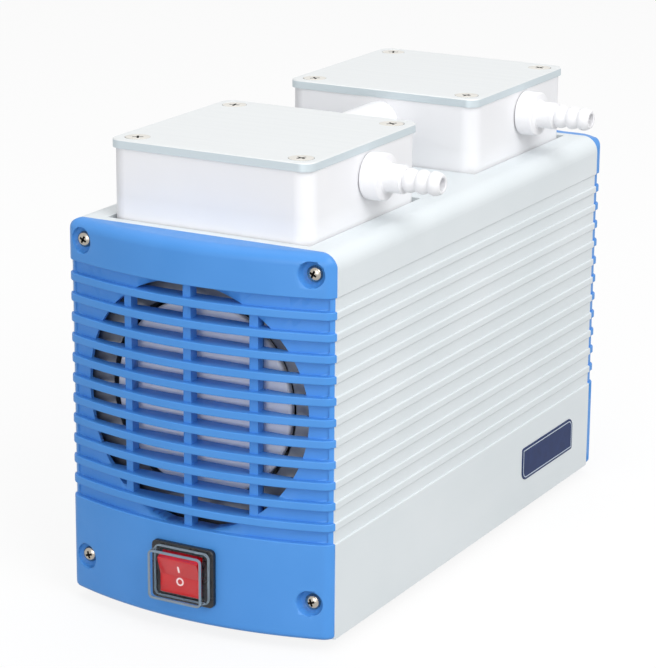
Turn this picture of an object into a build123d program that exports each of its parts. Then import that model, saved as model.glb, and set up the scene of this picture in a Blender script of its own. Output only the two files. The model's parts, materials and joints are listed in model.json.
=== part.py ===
"""Twin-head diaphragm vacuum pump.

Two diaphragm heads stand on two crankcases inside a ribbed aluminium housing.  One motor between the
crankcases turns a shaft with an eccentric under each head and a fan at each end.

Millimetres.  +Z is up, the switch end faces -Y and the hose barbs point to +X.  The origin lies on the
floor, at the centre of the four rubber feet.
"""
import os
from math import atan2, degrees, radians, sqrt, tan

from build123d import *

# ---------------------------------------------------------------- driving dimensions
# Housing
HOUSING_W = 140.0
HOUSING_H = 180.0
HOUSING_L = 280.0
HOUSING_WALL = 3.0
TOP_CORNER_R = 8.0
LOW_CORNER_R = 2.0
FOOT_H = 6.0
FOOT_R = 9.0
FOOT_SPACING_X = 100.0
FOOT_SPACING_Y = 220.0

# Ribbed zone, shared by the housing's sides and the covers
LOW_BAND_H = 46.0
HIGH_BAND_H = 20.0
RIB_COUNT = 11
RIB_H = 3.7
RELIEF_DEPTH = 0.9
RIB_EDGE_R = 0.6

# End covers
COVER_SKIRT = 3.0
COVER_SAG = 12.5
COVER_SIDE_WALL = 3.0
COVER_EDGE_R = 1.0
GROOVE_DEPTH = 3.3
GROOVE_FLOOR_T = 2.0
GROOVE_END_MARGIN = 3.2
GROOVE_END_R = 1.4
FRAME_EDGE_R = 4.5
APERTURE_R = 58.0
APERTURE_RIM = 2.5
GRILLE_BAR_DEPTH = 11.0
MULLION_W = 4.0
MULLION_DEPTH = 5.3
MULLION_PITCH = 33.0
MULLION_COUNT = 3
COVER_SCREW_INSET = 10.0
COVER_SCREW_LOW = 17.5
COVER_SCREW_DROP = 9.5
POCKET_R = 6.5
POCKET_FLOOR_R = 5.75
POCKET_FLOOR_T = 2.0
POCKET_BOSS_R = 8.0
COVER_SCREW_R = 2.0
COVER_SCREW_L = 14.0
PAN_HEAD_R = 3.7
PAN_HEAD_H = 2.8
PAN_EDGE_R = 1.1
PORT_R = 4.5

# Base plate
BASE_T = 3.0
LIP_W = 12.0
LIP_T = 3.0
BASE_SCREW_R = 1.5
BASE_SCREW_SPACING_Y = 100.0
BASE_SCREW_ROWS = 3
BASE_SCREW_HEAD_R = 2.8
BASE_SCREW_HEAD_H = 1.4
FOOT_STUD_R = 2.0
FOOT_STUD_L = 7.0
FOOT_STUD_PLATE_R = 6.0
FOOT_STUD_PLATE_T = 1.5
FOOT_EDGE_R = 1.0

# Shaft line
SHAFT_H = 103.0
SHAFT_R = 6.0
HEAD_Y = 82.0
THROW = 4.0
ECCENTRIC_R = 12.5
ECCENTRIC_W = 14.0
WEIGHT_R = 27.0
WEIGHT_W = 7.0
WEIGHT_GAP = 2.0
MAIN_BEARING_R = 16.0
MAIN_BEARING_W = 10.0
ROD_BEARING_R = 23.5
ROD_BEARING_W = 12.0
ROD_W = 14.0
ROD_RING_T = 5.5
ROD_SHANK_W = 18.0
ROD_TOP_R = 13.0
ROD_TOP_T = 5.0
STUD_R = 4.0
STUD_L = 12.0

# Motor
STATOR_R = 52.0
STATOR_L = 60.0
ROTOR_R = 28.0
AIR_GAP = 0.5
WINDING_R = 46.0
WINDING_INNER_R = 32.0
WINDING_L = 12.0
WINDING_EDGE_R = 4.0
END_RING_T = 2.5
END_RING_WINDOWS = 8
END_RING_WINDOW_H = 12.0
CAPACITOR_R = 16.0
CAPACITOR_L = 60.0
CAPACITOR_EDGE_R = 1.5
CAPACITOR_X = 34.0
CLAMP_T = 1.5
CLAMP_W = 14.0

# Crankcase
CRANKCASE_W = 92.0
CRANKCASE_D = 60.0
CRANKCASE_FLANGE_T = 10.0
CRANKCASE_CAVITY_W = 76.0
CRANKCASE_FLOOR_H = 62.0
CRANKCASE_FLOOR_T = 6.0
PEDESTAL_W = 60.0
PEDESTAL_T = 8.0
PEDESTAL_FOOT_T = 6.0

# Fan and baffle
FAN_R = 46.0
FAN_DISC_T = 3.0
FAN_DISC_DOME = 3.0
FAN_FACE_R = 12.0
FAN_HUB_R = 14.0
FAN_BLADES = 9
FAN_BLADE_T = 2.0
FAN_DEPTH = 16.0
FAN_EDGE_R = 1.6
FAN_TO_GRILLE = 3.0
BAFFLE_T = 2.0
BAFFLE_SETBACK = 2.0
BAFFLE_HOLE_GAP = 2.4
BAFFLE_COLLAR_T = 2.0
BAFFLE_COLLAR_L = 12.0
BAFFLE_LOW_H = 40.0
BAFFLE_TOP_MARGIN = 17.0
BAFFLE_CORNER_R = 6.0

# Heads
HEAD_W = 104.0
HEAD_CORNER_R = 8.0
HEAD_SEAT_DROP = 12.0
HEAD_BASE_T = 23.0
HEAD_COVER_T = 21.6
OPENING_GAP = 1.0
TOP_PLATE_W = 105.0
TOP_PLATE_T = 4.0
TOP_PLATE_CORNER_R = 6.0
TOP_PLATE_EDGE = 0.5
HEAD_SCREW_SPACING = 85.4
HEAD_SCREW_R = 3.0
HEAD_SCREW_HEAD_R = 6.0
HEAD_SCREW_THREAD_L = 9.0
DIAPHRAGM_R = 46.0
DIAPHRAGM_T = 2.0
CHAMBER_R = 40.0
CHAMBER_TOP_R = 31.0
CHAMBER_H = 8.4
CLAMP_DISC_R = 23.0
CLAMP_DISC_T = 3.0
CLAMP_DISC_EDGE_R = 1.0
SEAL_R = 47.5
SEAL_W = 2.4
SEAL_T = 1.6

# Valves and gas ports
VALVE_R = 9.0
VALVE_T = 1.0
VALVE_TRAVEL = 1.0
VALVE_POCKET_R = 10.0
VALVE_POCKET_H = 5.0
VALVE_SEAT_GAP = 0.2
VALVE_STOP_R = 3.0
VALVE_SEAT_HOLE_R = 4.0
VALVE_SIDE_HOLE_R = 2.0
VALVE_SIDE_HOLES = 4
VALVE_SIDE_CIRCLE_R = 6.5
VALVE_OFFSET = 24.0
VALVE_PLENUM_R = 8.5
PORT_RISE = 10.0
PORT_BORE_R = 4.5
PORT_SOCKET_R = 7.0
PORT_SOCKET_L = 10.0
BARB_FLANGE_R = 11.0
BARB_FLANGE_L = 9.0
BARB_NECK_R = 6.4
BARB_NECK_L = 10.0
BARB_CREST_R = 5.6
BARB_ROOT_R = 4.9
BARB_RIDGES = 3
BARB_PITCH = 6.2
BARB_LAND = 1.2
BARB_BORE_R = 3.4
BARB_SHIFT_Y = 3.0
BARB_EDGE_R = 0.8
LINK_R = 10.0
LINK_EDGE = 0.8

# Switch
SWITCH_H = 24.0
BEZEL_W = 33.0
BEZEL_HT = 28.0
BEZEL_T = 2.2
BEZEL_R = 2.5
SWITCH_BODY_W = 27.6
SWITCH_BODY_HT = 23.0
SWITCH_DEPTH = 18.0
SWITCH_WALL = 1.4
ROCKER_ARC = 18.0
ROCKER_W = 21.0
ROCKER_FACE_HT = 17.8
ROCKER_ROOT_HT = 19.6
ROCKER_RISE = 3.2
ROCKER_PIVOT_DEPTH = 0.5
ROCKER_PIN_R = 1.5
ROCKER_PIN_L = 1.2
ROCKER_EDGE_R = 0.6
BOOT_W = 28.6
BOOT_HT = 24.0
BOOT_RISE = 7.0
BOOT_WALL = 0.9
BOOT_R = 2.6
BOOT_EDGE_R = 1.6

# Power inlet
INLET_H = 24.0
INLET_FLANGE_W = 50.0
INLET_FLANGE_HT = 23.0
INLET_FLANGE_T = 3.0
INLET_FLANGE_R = 3.0
INLET_BODY_W = 28.0
INLET_BODY_HT = 20.0
INLET_BODY_R = 2.5
INLET_DEPTH = 17.0
INLET_SOCKET_W = 24.6
INLET_SOCKET_HT = 16.8
INLET_SOCKET_CHAMFER = 4.5
INLET_SOCKET_FLOOR = 2.0
INLET_PAD_MARGIN = 2.0
INLET_PIN_W = 4.0
INLET_PIN_T = 2.0
INLET_PIN_L = 13.0
INLET_PIN_PITCH = 7.0
INLET_PIN_RISE = 4.0
INLET_SCREW_SPACING = 40.0
INLET_SCREW_R = 1.5
INLET_SCREW_HEAD_R = 2.8
INLET_SCREW_L = 8.0

# Clearances
RUNNING_GAP = 0.05
THREAD_GAP = 0.05
SEAT_GAP = 0.3
HOLE_GAP = 0.3

# ---------------------------------------------------------------- derived places
FRONT = -1
REAR = 1
ENDS = (("front", FRONT), ("rear", REAR))

FLOOR_Z = FOOT_H
TOP_Z = FLOOR_Z + HOUSING_H
RELIEF_LOW_Z = FLOOR_Z + LOW_BAND_H
RELIEF_H = HOUSING_H - LOW_BAND_H - HIGH_BAND_H
RELIEF_MID_Z = RELIEF_LOW_Z + RELIEF_H / 2
GAP_COUNT = RIB_COUNT + 1
GAP_H = (RELIEF_H - RIB_COUNT * RIB_H) / GAP_COUNT
RIB_PITCH = GAP_H + RIB_H

INNER_W = HOUSING_W - 2 * HOUSING_WALL
HALF_L = HOUSING_L / 2
COVER_CREST = HALF_L + COVER_SKIRT + COVER_SAG
BULGE_R = ((HOUSING_W / 2) ** 2 + COVER_SAG ** 2) / (2 * COVER_SAG)
COVER_T = GROOVE_DEPTH + GROOVE_FLOOR_T
GROOVE_W = HOUSING_W - 2 * GROOVE_END_MARGIN
GRILLE_BACK = COVER_CREST - GRILLE_BAR_DEPTH

SHAFT_Z = FLOOR_Z + SHAFT_H
BASE_TOP_Z = FLOOR_Z + BASE_T
HEAD_SEAT_Z = TOP_Z - HEAD_SEAT_DROP
PARTING_Z = HEAD_SEAT_Z + HEAD_BASE_T
HEAD_TOP_Z = PARTING_Z + HEAD_COVER_T
PORT_Z = PARTING_Z + PORT_RISE
ROD_LENGTH = HEAD_SEAT_Z - DIAPHRAGM_T - CLAMP_DISC_T - SHAFT_Z
FLANGE_LOW_Z = HEAD_SEAT_Z - CRANKCASE_FLANGE_T
FAN_FRONT = GRILLE_BACK - FAN_TO_GRILLE
FAN_BACK = FAN_FRONT - FAN_DISC_DOME - FAN_DISC_T - FAN_DEPTH
BAFFLE_HOLE_R = FAN_R + BAFFLE_HOLE_GAP
SHAFT_END = FAN_FRONT - FAN_DISC_DOME
POCKET_Z = PARTING_Z - VALVE_POCKET_H
HEAD_INNER_FACE = HEAD_Y - HEAD_W / 2
SWITCH_PIVOT_Y = ROCKER_PIVOT_DEPTH - COVER_CREST
VALVE_OPEN_H = VALVE_SEAT_GAP + VALVE_T + VALVE_TRAVEL + VALVE_SEAT_GAP
CAPACITOR_Z = BASE_TOP_Z + CLAMP_T + THREAD_GAP + CAPACITOR_R
BARB_LENGTH = BARB_FLANGE_L + BARB_NECK_L + BARB_RIDGES * BARB_PITCH


def end_plane(side, distance):
    """Plane square to Y at a distance from the middle, facing outwards; its own y runs up along Z."""
    return Plane(origin=(0, side * distance, 0), x_dir=(-side, 0, 0), z_dir=(0, side, 0))


def save(name, builder):
    """Label a finished sub-part and write it as a STEP file."""
    builder.part.label = name
    export_step(builder.part, f"parts/{name}.step")


def cover_screw_points():
    """The four cover screws, as points in an end plane."""
    across = HOUSING_W / 2 - COVER_SCREW_INSET
    return [(x, z) for x in (-across, across) for z in (FLOOR_Z + COVER_SCREW_LOW, TOP_Z - COVER_SCREW_DROP)]


# ---------------------------------------------------------------- housing
def make_housing_shell():
    """Extruded three-sided shell with ribbed flanks, screw ports, inward lips and two head openings."""
    end = end_plane(FRONT, HALF_L)
    with BuildPart() as shell:
        with BuildSketch(end):
            with Locations((0, FLOOR_Z + HOUSING_H / 2)):
                Rectangle(HOUSING_W, HOUSING_H)
            fillet(vertices().group_by(Axis.Y)[-1], TOP_CORNER_R)
            for flank in (-HOUSING_W / 2, HOUSING_W / 2):
                with Locations((flank, RELIEF_MID_Z)):
                    with GridLocations(0, RIB_PITCH, 1, GAP_COUNT):
                        Rectangle(2 * RELIEF_DEPTH, GAP_H, mode=Mode.SUBTRACT)
            low, high = RELIEF_LOW_Z - RIB_H / 2, RELIEF_LOW_Z + RELIEF_H + RIB_H / 2
            crests = vertices().filter_by(
                lambda v: low < v.Y < high and abs(v.X) > HOUSING_W / 2 - RELIEF_DEPTH / 2)
            fillet(crests, RIB_EDGE_R)
        extrude(amount=-HOUSING_L)
        with BuildSketch(end):
            with Locations((0, FLOOR_Z + (HOUSING_H - HOUSING_WALL) / 2)):
                Rectangle(INNER_W, HOUSING_H - HOUSING_WALL)
            fillet(vertices().group_by(Axis.Y)[-1], TOP_CORNER_R - HOUSING_WALL)
        extrude(amount=-HOUSING_L, mode=Mode.SUBTRACT)
        with BuildSketch(end):
            with Locations((0, BASE_TOP_Z + LIP_T / 2)):
                with GridLocations(INNER_W - LIP_W, 0, 2, 1):
                    Rectangle(LIP_W, LIP_T)
            for x, z in cover_screw_points():
                web_end = INNER_W / 2 * (1 if x > 0 else -1)
                with Locations(((x + web_end) / 2, z)):
                    Rectangle(abs(web_end - x), PORT_R)
            with Locations(*cover_screw_points()):
                Circle(PORT_R)
                Circle(COVER_SCREW_R + THREAD_GAP, mode=Mode.SUBTRACT)
        extrude(amount=-HOUSING_L)
        with BuildSketch(Plane.XY.offset(TOP_Z)):
            with GridLocations(0, 2 * HEAD_Y, 1, 2):
                Rectangle(HEAD_W + 2 * OPENING_GAP, HEAD_W + 2 * OPENING_GAP)
        extrude(amount=-2 * HOUSING_WALL, mode=Mode.SUBTRACT)
        with Locations((0, 0, BASE_TOP_Z + LIP_T)):
            with GridLocations(INNER_W - LIP_W, BASE_SCREW_SPACING_Y, 2, BASE_SCREW_ROWS):
                Hole(BASE_SCREW_R + THREAD_GAP, depth=LIP_T)
    return shell


def make_base_plate():
    """Flat plate between the housing's walls, under its lips, that carries the whole drive."""
    with BuildPart() as plate:
        with BuildSketch(Plane.XY.offset(FLOOR_Z)):
            Rectangle(INNER_W - 2 * SEAT_GAP, HOUSING_L)
        extrude(amount=BASE_T)
        with Locations((0, 0, BASE_TOP_Z)):
            with GridLocations(INNER_W - LIP_W, BASE_SCREW_SPACING_Y, 2, BASE_SCREW_ROWS):
                Hole(BASE_SCREW_R + HOLE_GAP, depth=BASE_T)
            with GridLocations(FOOT_SPACING_X, FOOT_SPACING_Y, 2, 2):
                Hole(FOOT_STUD_R + THREAD_GAP, depth=BASE_T)
    return plate


def make_base_plate_screws():
    """Six low-head screws that hold the base plate up against the lips."""
    with BuildPart() as screws:
        with Locations((0, 0, FLOOR_Z)):
            with GridLocations(INNER_W - LIP_W, BASE_SCREW_SPACING_Y, 2, BASE_SCREW_ROWS):
                Cylinder(BASE_SCREW_HEAD_R, BASE_SCREW_HEAD_H, align=(Align.CENTER, Align.CENTER, Align.MAX))
                Cylinder(BASE_SCREW_R, BASE_T + LIP_T, align=(Align.CENTER, Align.CENTER, Align.MIN))
    return screws


def make_rubber_feet():
    """Four round feet, each with a round seat in its top for the plate of its moulded-in stud."""
    with BuildPart() as feet:
        with GridLocations(FOOT_SPACING_X, FOOT_SPACING_Y, 2, 2):
            Cylinder(FOOT_R, FOOT_H, align=(Align.CENTER, Align.CENTER, Align.MIN))
        fillet(feet.edges().group_by(Axis.Z)[-1], FOOT_EDGE_R)
        with BuildSketch(Plane.XY.offset(FOOT_H)):
            with GridLocations(FOOT_SPACING_X, FOOT_SPACING_Y, 2, 2):
                Circle(FOOT_STUD_PLATE_R)
        extrude(amount=-FOOT_STUD_PLATE_T, mode=Mode.SUBTRACT)
    return feet


def make_feet_studs():
    """The feet's steel plates, each with a stud up into the base plate."""
    with BuildPart() as studs:
        with Locations((0, 0, FOOT_H - FOOT_STUD_PLATE_T)):
            with GridLocations(FOOT_SPACING_X, FOOT_SPACING_Y, 2, 2):
                Cylinder(FOOT_STUD_PLATE_R, FOOT_STUD_PLATE_T, align=(Align.CENTER, Align.CENTER, Align.MIN))
                Cylinder(FOOT_STUD_R, FOOT_STUD_PLATE_T + FOOT_STUD_L, align=(Align.CENTER, Align.CENTER, Align.MIN))
    return studs


# ---------------------------------------------------------------- end covers
def bulge_slice(side, inset, height=TOP_Z + 1):
    """Everything inside the cover's plan arc, moved in by an inset, as a tall round column."""
    with BuildPart() as column:
        with BuildSketch(Plane.XY.offset(-1)):
            with Locations((0, side * (COVER_CREST - BULGE_R))):
                Circle(BULGE_R - inset)
        extrude(amount=height + 2)
    return column.part


def make_cover_grooves(side):
    """The horizontal grooves between the bars, with a floor that follows the bulge."""
    with BuildPart() as grooves:
        with BuildSketch(end_plane(side, HALF_L)):
            with Locations((0, RELIEF_MID_Z)):
                with GridLocations(0, RIB_PITCH, 1, GAP_COUNT):
                    RectangleRounded(GROOVE_W, GAP_H, GROOVE_END_R)
        extrude(amount=COVER_CREST - HALF_L + 1)
        add(bulge_slice(side, GROOVE_DEPTH), mode=Mode.SUBTRACT)
    return grooves.part


def make_cover_flanks(side):
    """What is taken off the cover's two upright edges between the bars, leaving a rounded frame."""
    frame_x = HOUSING_W / 2 - RELIEF_DEPTH - FRAME_EDGE_R
    front_y = COVER_CREST - BULGE_R + sqrt((BULGE_R - FRAME_EDGE_R) ** 2 - frame_x ** 2)
    with BuildPart() as flanks:
        with BuildSketch(Plane.XY.offset(RELIEF_LOW_Z)):
            with Locations((0, side * HALF_L)):
                Rectangle(HOUSING_W + 2, 2 * (COVER_CREST - HALF_L) + 2)
            with Locations((0, side * HALF_L)):
                Rectangle(2 * frame_x, 2 * (COVER_CREST - HALF_L) + 2, mode=Mode.SUBTRACT)
            with GridLocations(2 * frame_x, 0, 2, 1):
                with Locations((0, side * front_y)):
                    Circle(FRAME_EDGE_R, mode=Mode.SUBTRACT)
                with Locations((0, side * front_y / 2)):
                    Rectangle(2 * FRAME_EDGE_R, front_y, mode=Mode.SUBTRACT)
        extrude(amount=GAP_H)
    return flanks.part


def make_cover_cavity(side):
    """The cover's hollow inside, less the grille's thick round block and the four screw bosses."""
    with BuildPart() as cavity:
        with BuildSketch(end_plane(side, HALF_L)):
            with Locations((0, FLOOR_Z + HOUSING_H / 2)):
                Rectangle(HOUSING_W - 2 * COVER_SIDE_WALL, HOUSING_H - 2 * COVER_SIDE_WALL)
            fillet(vertices().group_by(Axis.Y)[-1], TOP_CORNER_R - COVER_SIDE_WALL)
        extrude(amount=COVER_CREST - HALF_L)
        add(bulge_slice(side, COVER_T), mode=Mode.INTERSECT)
        with BuildSketch(end_plane(side, GRILLE_BACK)):
            with Locations((0, SHAFT_Z)):
                Circle(APERTURE_R + APERTURE_RIM)
        extrude(amount=GRILLE_BAR_DEPTH, mode=Mode.SUBTRACT)
        with BuildSketch(end_plane(side, HALF_L)):
            with Locations(*cover_screw_points()):
                Circle(POCKET_BOSS_R)
        extrude(amount=COVER_CREST - HALF_L, mode=Mode.SUBTRACT)
    return cavity.part


def make_cover(side, centre_h, pad=None, cutout=None, fixing_r=0.0):
    """One bulged end cover: grooves, bars, round grille, screw pockets and the opening low down."""
    grooves = make_cover_grooves(side)
    flanks = make_cover_flanks(side)
    cavity = make_cover_cavity(side)
    bar_x = MULLION_PITCH * (MULLION_COUNT - 1) / 2
    with BuildPart() as cover:
        with BuildSketch(end_plane(side, HALF_L)):
            with Locations((0, FLOOR_Z + HOUSING_H / 2)):
                Rectangle(HOUSING_W, HOUSING_H)
            fillet(vertices().group_by(Axis.Y)[-1], TOP_CORNER_R)
            fillet(vertices().group_by(Axis.Y)[0], LOW_CORNER_R)
        extrude(amount=COVER_CREST - HALF_L)
        add(bulge_slice(side, 0), mode=Mode.INTERSECT)
        bulge = cover.faces().filter_by(GeomType.CYLINDER).sort_by(SortBy.AREA)[-1]
        fillet(bulge.edges(), COVER_EDGE_R)
        add(grooves, mode=Mode.SUBTRACT)
        for gap in range(GAP_COUNT):
            add(flanks.moved(Location((0, 0, gap * RIB_PITCH))), mode=Mode.SUBTRACT)
        add(cavity, mode=Mode.SUBTRACT)
        with BuildSketch(end_plane(side, HALF_L)):
            with Locations((0, RELIEF_MID_Z)):
                with GridLocations(0, RIB_PITCH, 1, GAP_COUNT):
                    Rectangle(2 * APERTURE_R, GAP_H)
            with Locations((0, SHAFT_Z)):
                Circle(APERTURE_R, mode=Mode.INTERSECT)
        extrude(amount=COVER_CREST - HALF_L, mode=Mode.SUBTRACT)
        for count in range(MULLION_COUNT):
            add(make_mullion(side, count * MULLION_PITCH - bar_x))
        add(make_screw_pockets(side), mode=Mode.SUBTRACT)
        if pad:
            with BuildSketch(end_plane(side, COVER_CREST)):
                with Locations((0, centre_h)):
                    RectangleRounded(*pad, INLET_FLANGE_R)
            extrude(amount=-COVER_T)
        with BuildSketch(end_plane(side, COVER_CREST)):
            with Locations((0, centre_h)):
                Rectangle(*cutout)
            if fixing_r:
                with Locations((0, centre_h)):
                    with GridLocations(INLET_SCREW_SPACING, 0, 2, 1):
                        Circle(fixing_r)
        extrude(amount=HALF_L - COVER_CREST, mode=Mode.SUBTRACT)
    return cover


def make_mullion(side, x):
    """One upright bar behind the grille's openings, its front level with the groove floors."""
    half_chord = sqrt((APERTURE_R + APERTURE_RIM / 2) ** 2 - x ** 2)
    with BuildPart() as mullion:
        with BuildSketch(Plane.XY.offset(SHAFT_Z - half_chord)):
            with Locations((0, side * (COVER_CREST - BULGE_R))):
                Circle(BULGE_R - GROOVE_DEPTH)
                Circle(BULGE_R - GROOVE_DEPTH - MULLION_DEPTH, mode=Mode.SUBTRACT)
            with Locations((x, side * HALF_L)):
                Rectangle(MULLION_W, 2 * (COVER_CREST - HALF_L), mode=Mode.INTERSECT)
        extrude(amount=2 * half_chord)
    return mullion.part


def make_screw_pockets(side):
    """Tapered round pockets for the four cover screws, each with its clearance hole."""
    floor = HALF_L + POCKET_FLOOR_T
    depth = COVER_CREST - floor
    with BuildPart() as pockets:
        with BuildSketch(end_plane(side, floor)):
            with Locations(*cover_screw_points()):
                Circle(POCKET_FLOOR_R)
        extrude(amount=depth, taper=-degrees(atan2(POCKET_R - POCKET_FLOOR_R, depth / 2)))
        with BuildSketch(end_plane(side, floor)):
            with Locations(*cover_screw_points()):
                Circle(COVER_SCREW_R + HOLE_GAP)
        extrude(amount=-POCKET_FLOOR_T)
    return pockets.part


def make_cover_screws():
    """Eight pan-head screws, four to each cover."""
    with BuildPart() as screws:
        for _, side in ENDS:
            with BuildSketch(end_plane(side, HALF_L + POCKET_FLOOR_T)):
                with Locations(*cover_screw_points()):
                    Circle(PAN_HEAD_R)
            extrude(amount=PAN_HEAD_H)
            tops = screws.faces().sort_by(Axis.Y)[-4:] if side == REAR else screws.faces().sort_by(Axis.Y)[:4]
            fillet(tops.edges(), PAN_EDGE_R)
            with BuildSketch(end_plane(side, HALF_L + POCKET_FLOOR_T)):
                with Locations(*cover_screw_points()):
                    Circle(COVER_SCREW_R)
            extrude(amount=-COVER_SCREW_L)
    return screws


# ---------------------------------------------------------------- switch
def make_switch_body():
    """Rocker switch frame: a bezel on the cover and an open box behind it with pivot holes."""
    with BuildPart() as body:
        with BuildSketch(end_plane(FRONT, COVER_CREST)):
            with Locations((0, FLOOR_Z + SWITCH_H)):
                RectangleRounded(BEZEL_W, BEZEL_HT, BEZEL_R)
        extrude(amount=BEZEL_T)
        fillet(body.edges().group_by(Axis.Y)[0], BEZEL_T / 3)
        with BuildSketch(end_plane(FRONT, COVER_CREST)):
            with Locations((0, FLOOR_Z + SWITCH_H)):
                Rectangle(SWITCH_BODY_W, SWITCH_BODY_HT)
        extrude(amount=-SWITCH_DEPTH)
        with BuildSketch(end_plane(FRONT, COVER_CREST + BEZEL_T)):
            with Locations((0, FLOOR_Z + SWITCH_H)):
                Rectangle(ROCKER_W + 2 * SEAT_GAP, SWITCH_BODY_HT - 2 * SWITCH_WALL)
        extrude(amount=SWITCH_WALL - SWITCH_DEPTH - BEZEL_T, mode=Mode.SUBTRACT)
        with BuildSketch(Plane.YZ.offset(-SWITCH_BODY_W / 2 + SWITCH_WALL)):
            with Locations((SWITCH_PIVOT_Y, FLOOR_Z + SWITCH_H)):
                Circle(ROCKER_PIN_R + RUNNING_GAP)
        extrude(amount=SWITCH_BODY_W - 2 * SWITCH_WALL, mode=Mode.SUBTRACT)
    return body


def make_rocker():
    """Two-lobed rocker, built level and turned to the stop with its lower half pressed."""
    tilt = ROCKER_ARC / 2
    pivot = Plane(origin=(0, SWITCH_PIVOT_Y, FLOOR_Z + SWITCH_H), x_dir=(0, 1, 0), z_dir=(1, 0, 0))
    face, root = ROCKER_FACE_HT / 2, ROCKER_ROOT_HT / 2
    peak = ROCKER_PIVOT_DEPTH + BEZEL_T + ROCKER_RISE
    valley = peak - face * tan(radians(tilt))
    with BuildPart() as rocker:
        with BuildSketch(pivot.rotated((tilt, 0, 0))):
            with BuildLine():
                Polyline((-peak, face), (-valley, 0), (-peak, -face), (0, -root), (2 * ROCKER_PIN_R, 0),
                         (0, root), close=True)
            make_face()
            fillet(vertices().group_by(Axis.X)[0], ROCKER_EDGE_R)
        extrude(amount=ROCKER_W / 2, both=True)
        with BuildSketch(pivot):
            Circle(ROCKER_PIN_R)
        extrude(amount=ROCKER_W / 2 + ROCKER_PIN_L, both=True)
    return rocker


def make_switch_boot():
    """Clear box-shaped boot over the rocker, seated on the bezel."""
    with BuildPart() as boot:
        with BuildSketch(end_plane(FRONT, COVER_CREST + BEZEL_T)):
            with Locations((0, FLOOR_Z + SWITCH_H)):
                RectangleRounded(BOOT_W, BOOT_HT, BOOT_R)
        extrude(amount=BOOT_RISE)
        fillet(boot.edges().group_by(Axis.Y)[0], BOOT_EDGE_R)
        with BuildSketch(end_plane(FRONT, COVER_CREST + BEZEL_T)):
            with Locations((0, FLOOR_Z + SWITCH_H)):
                RectangleRounded(BOOT_W - 2 * BOOT_WALL, BOOT_HT - 2 * BOOT_WALL, BOOT_R - BOOT_WALL)
        extrude(amount=BOOT_RISE - BOOT_WALL, mode=Mode.SUBTRACT)
    return boot


# ---------------------------------------------------------------- power inlet
def inlet_plane(distance):
    """Rear end plane with its origin at the inlet's centre."""
    return Plane(origin=(0, distance, FLOOR_Z + INLET_H), x_dir=(-1, 0, 0), z_dir=(0, 1, 0))


def make_power_inlet():
    """Flanged appliance inlet with a chamfered socket."""
    with BuildPart() as inlet:
        with BuildSketch(inlet_plane(COVER_CREST)):
            RectangleRounded(INLET_FLANGE_W, INLET_FLANGE_HT, INLET_FLANGE_R)
            with GridLocations(INLET_SCREW_SPACING, 0, 2, 1):
                Circle(INLET_SCREW_R + HOLE_GAP, mode=Mode.SUBTRACT)
        extrude(amount=INLET_FLANGE_T)
        with BuildSketch(inlet_plane(COVER_CREST)):
            RectangleRounded(INLET_BODY_W, INLET_BODY_HT, INLET_BODY_R)
        extrude(amount=-INLET_DEPTH)
        with BuildSketch(inlet_plane(COVER_CREST + INLET_FLANGE_T)):
            Rectangle(INLET_SOCKET_W, INLET_SOCKET_HT)
            chamfer(vertices().group_by(Axis.Y)[-1], INLET_SOCKET_CHAMFER)
        extrude(amount=INLET_SOCKET_FLOOR - INLET_DEPTH - INLET_FLANGE_T, mode=Mode.SUBTRACT)
    return inlet


def make_inlet_pins():
    """Three flat contact pins standing on the socket's floor."""
    with BuildPart() as pins:
        with BuildSketch(inlet_plane(COVER_CREST - INLET_DEPTH + INLET_SOCKET_FLOOR)):
            with Locations((-INLET_PIN_PITCH, -INLET_PIN_RISE / 2), (INLET_PIN_PITCH, -INLET_PIN_RISE / 2),
                           (0, INLET_PIN_RISE / 2)):
                Rectangle(INLET_PIN_T, INLET_PIN_W)
        extrude(amount=INLET_PIN_L)
        chamfer(pins.edges().group_by(Axis.Y)[-1], INLET_PIN_T / 4)
    return pins


def make_inlet_screws():
    """Two pan-head screws through the inlet's flange into the cover's pad."""
    with BuildPart() as screws:
        with BuildSketch(inlet_plane(COVER_CREST + INLET_FLANGE_T)):
            with GridLocations(INLET_SCREW_SPACING, 0, 2, 1):
                Circle(INLET_SCREW_HEAD_R)
        extrude(amount=INLET_SCREW_R)
        fillet(screws.edges().group_by(Axis.Y)[-1], INLET_SCREW_R / 2)
        with BuildSketch(inlet_plane(COVER_CREST + INLET_FLANGE_T)):
            with GridLocations(INLET_SCREW_SPACING, 0, 2, 1):
                Circle(INLET_SCREW_R)
        extrude(amount=-INLET_SCREW_L)
    return screws


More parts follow.
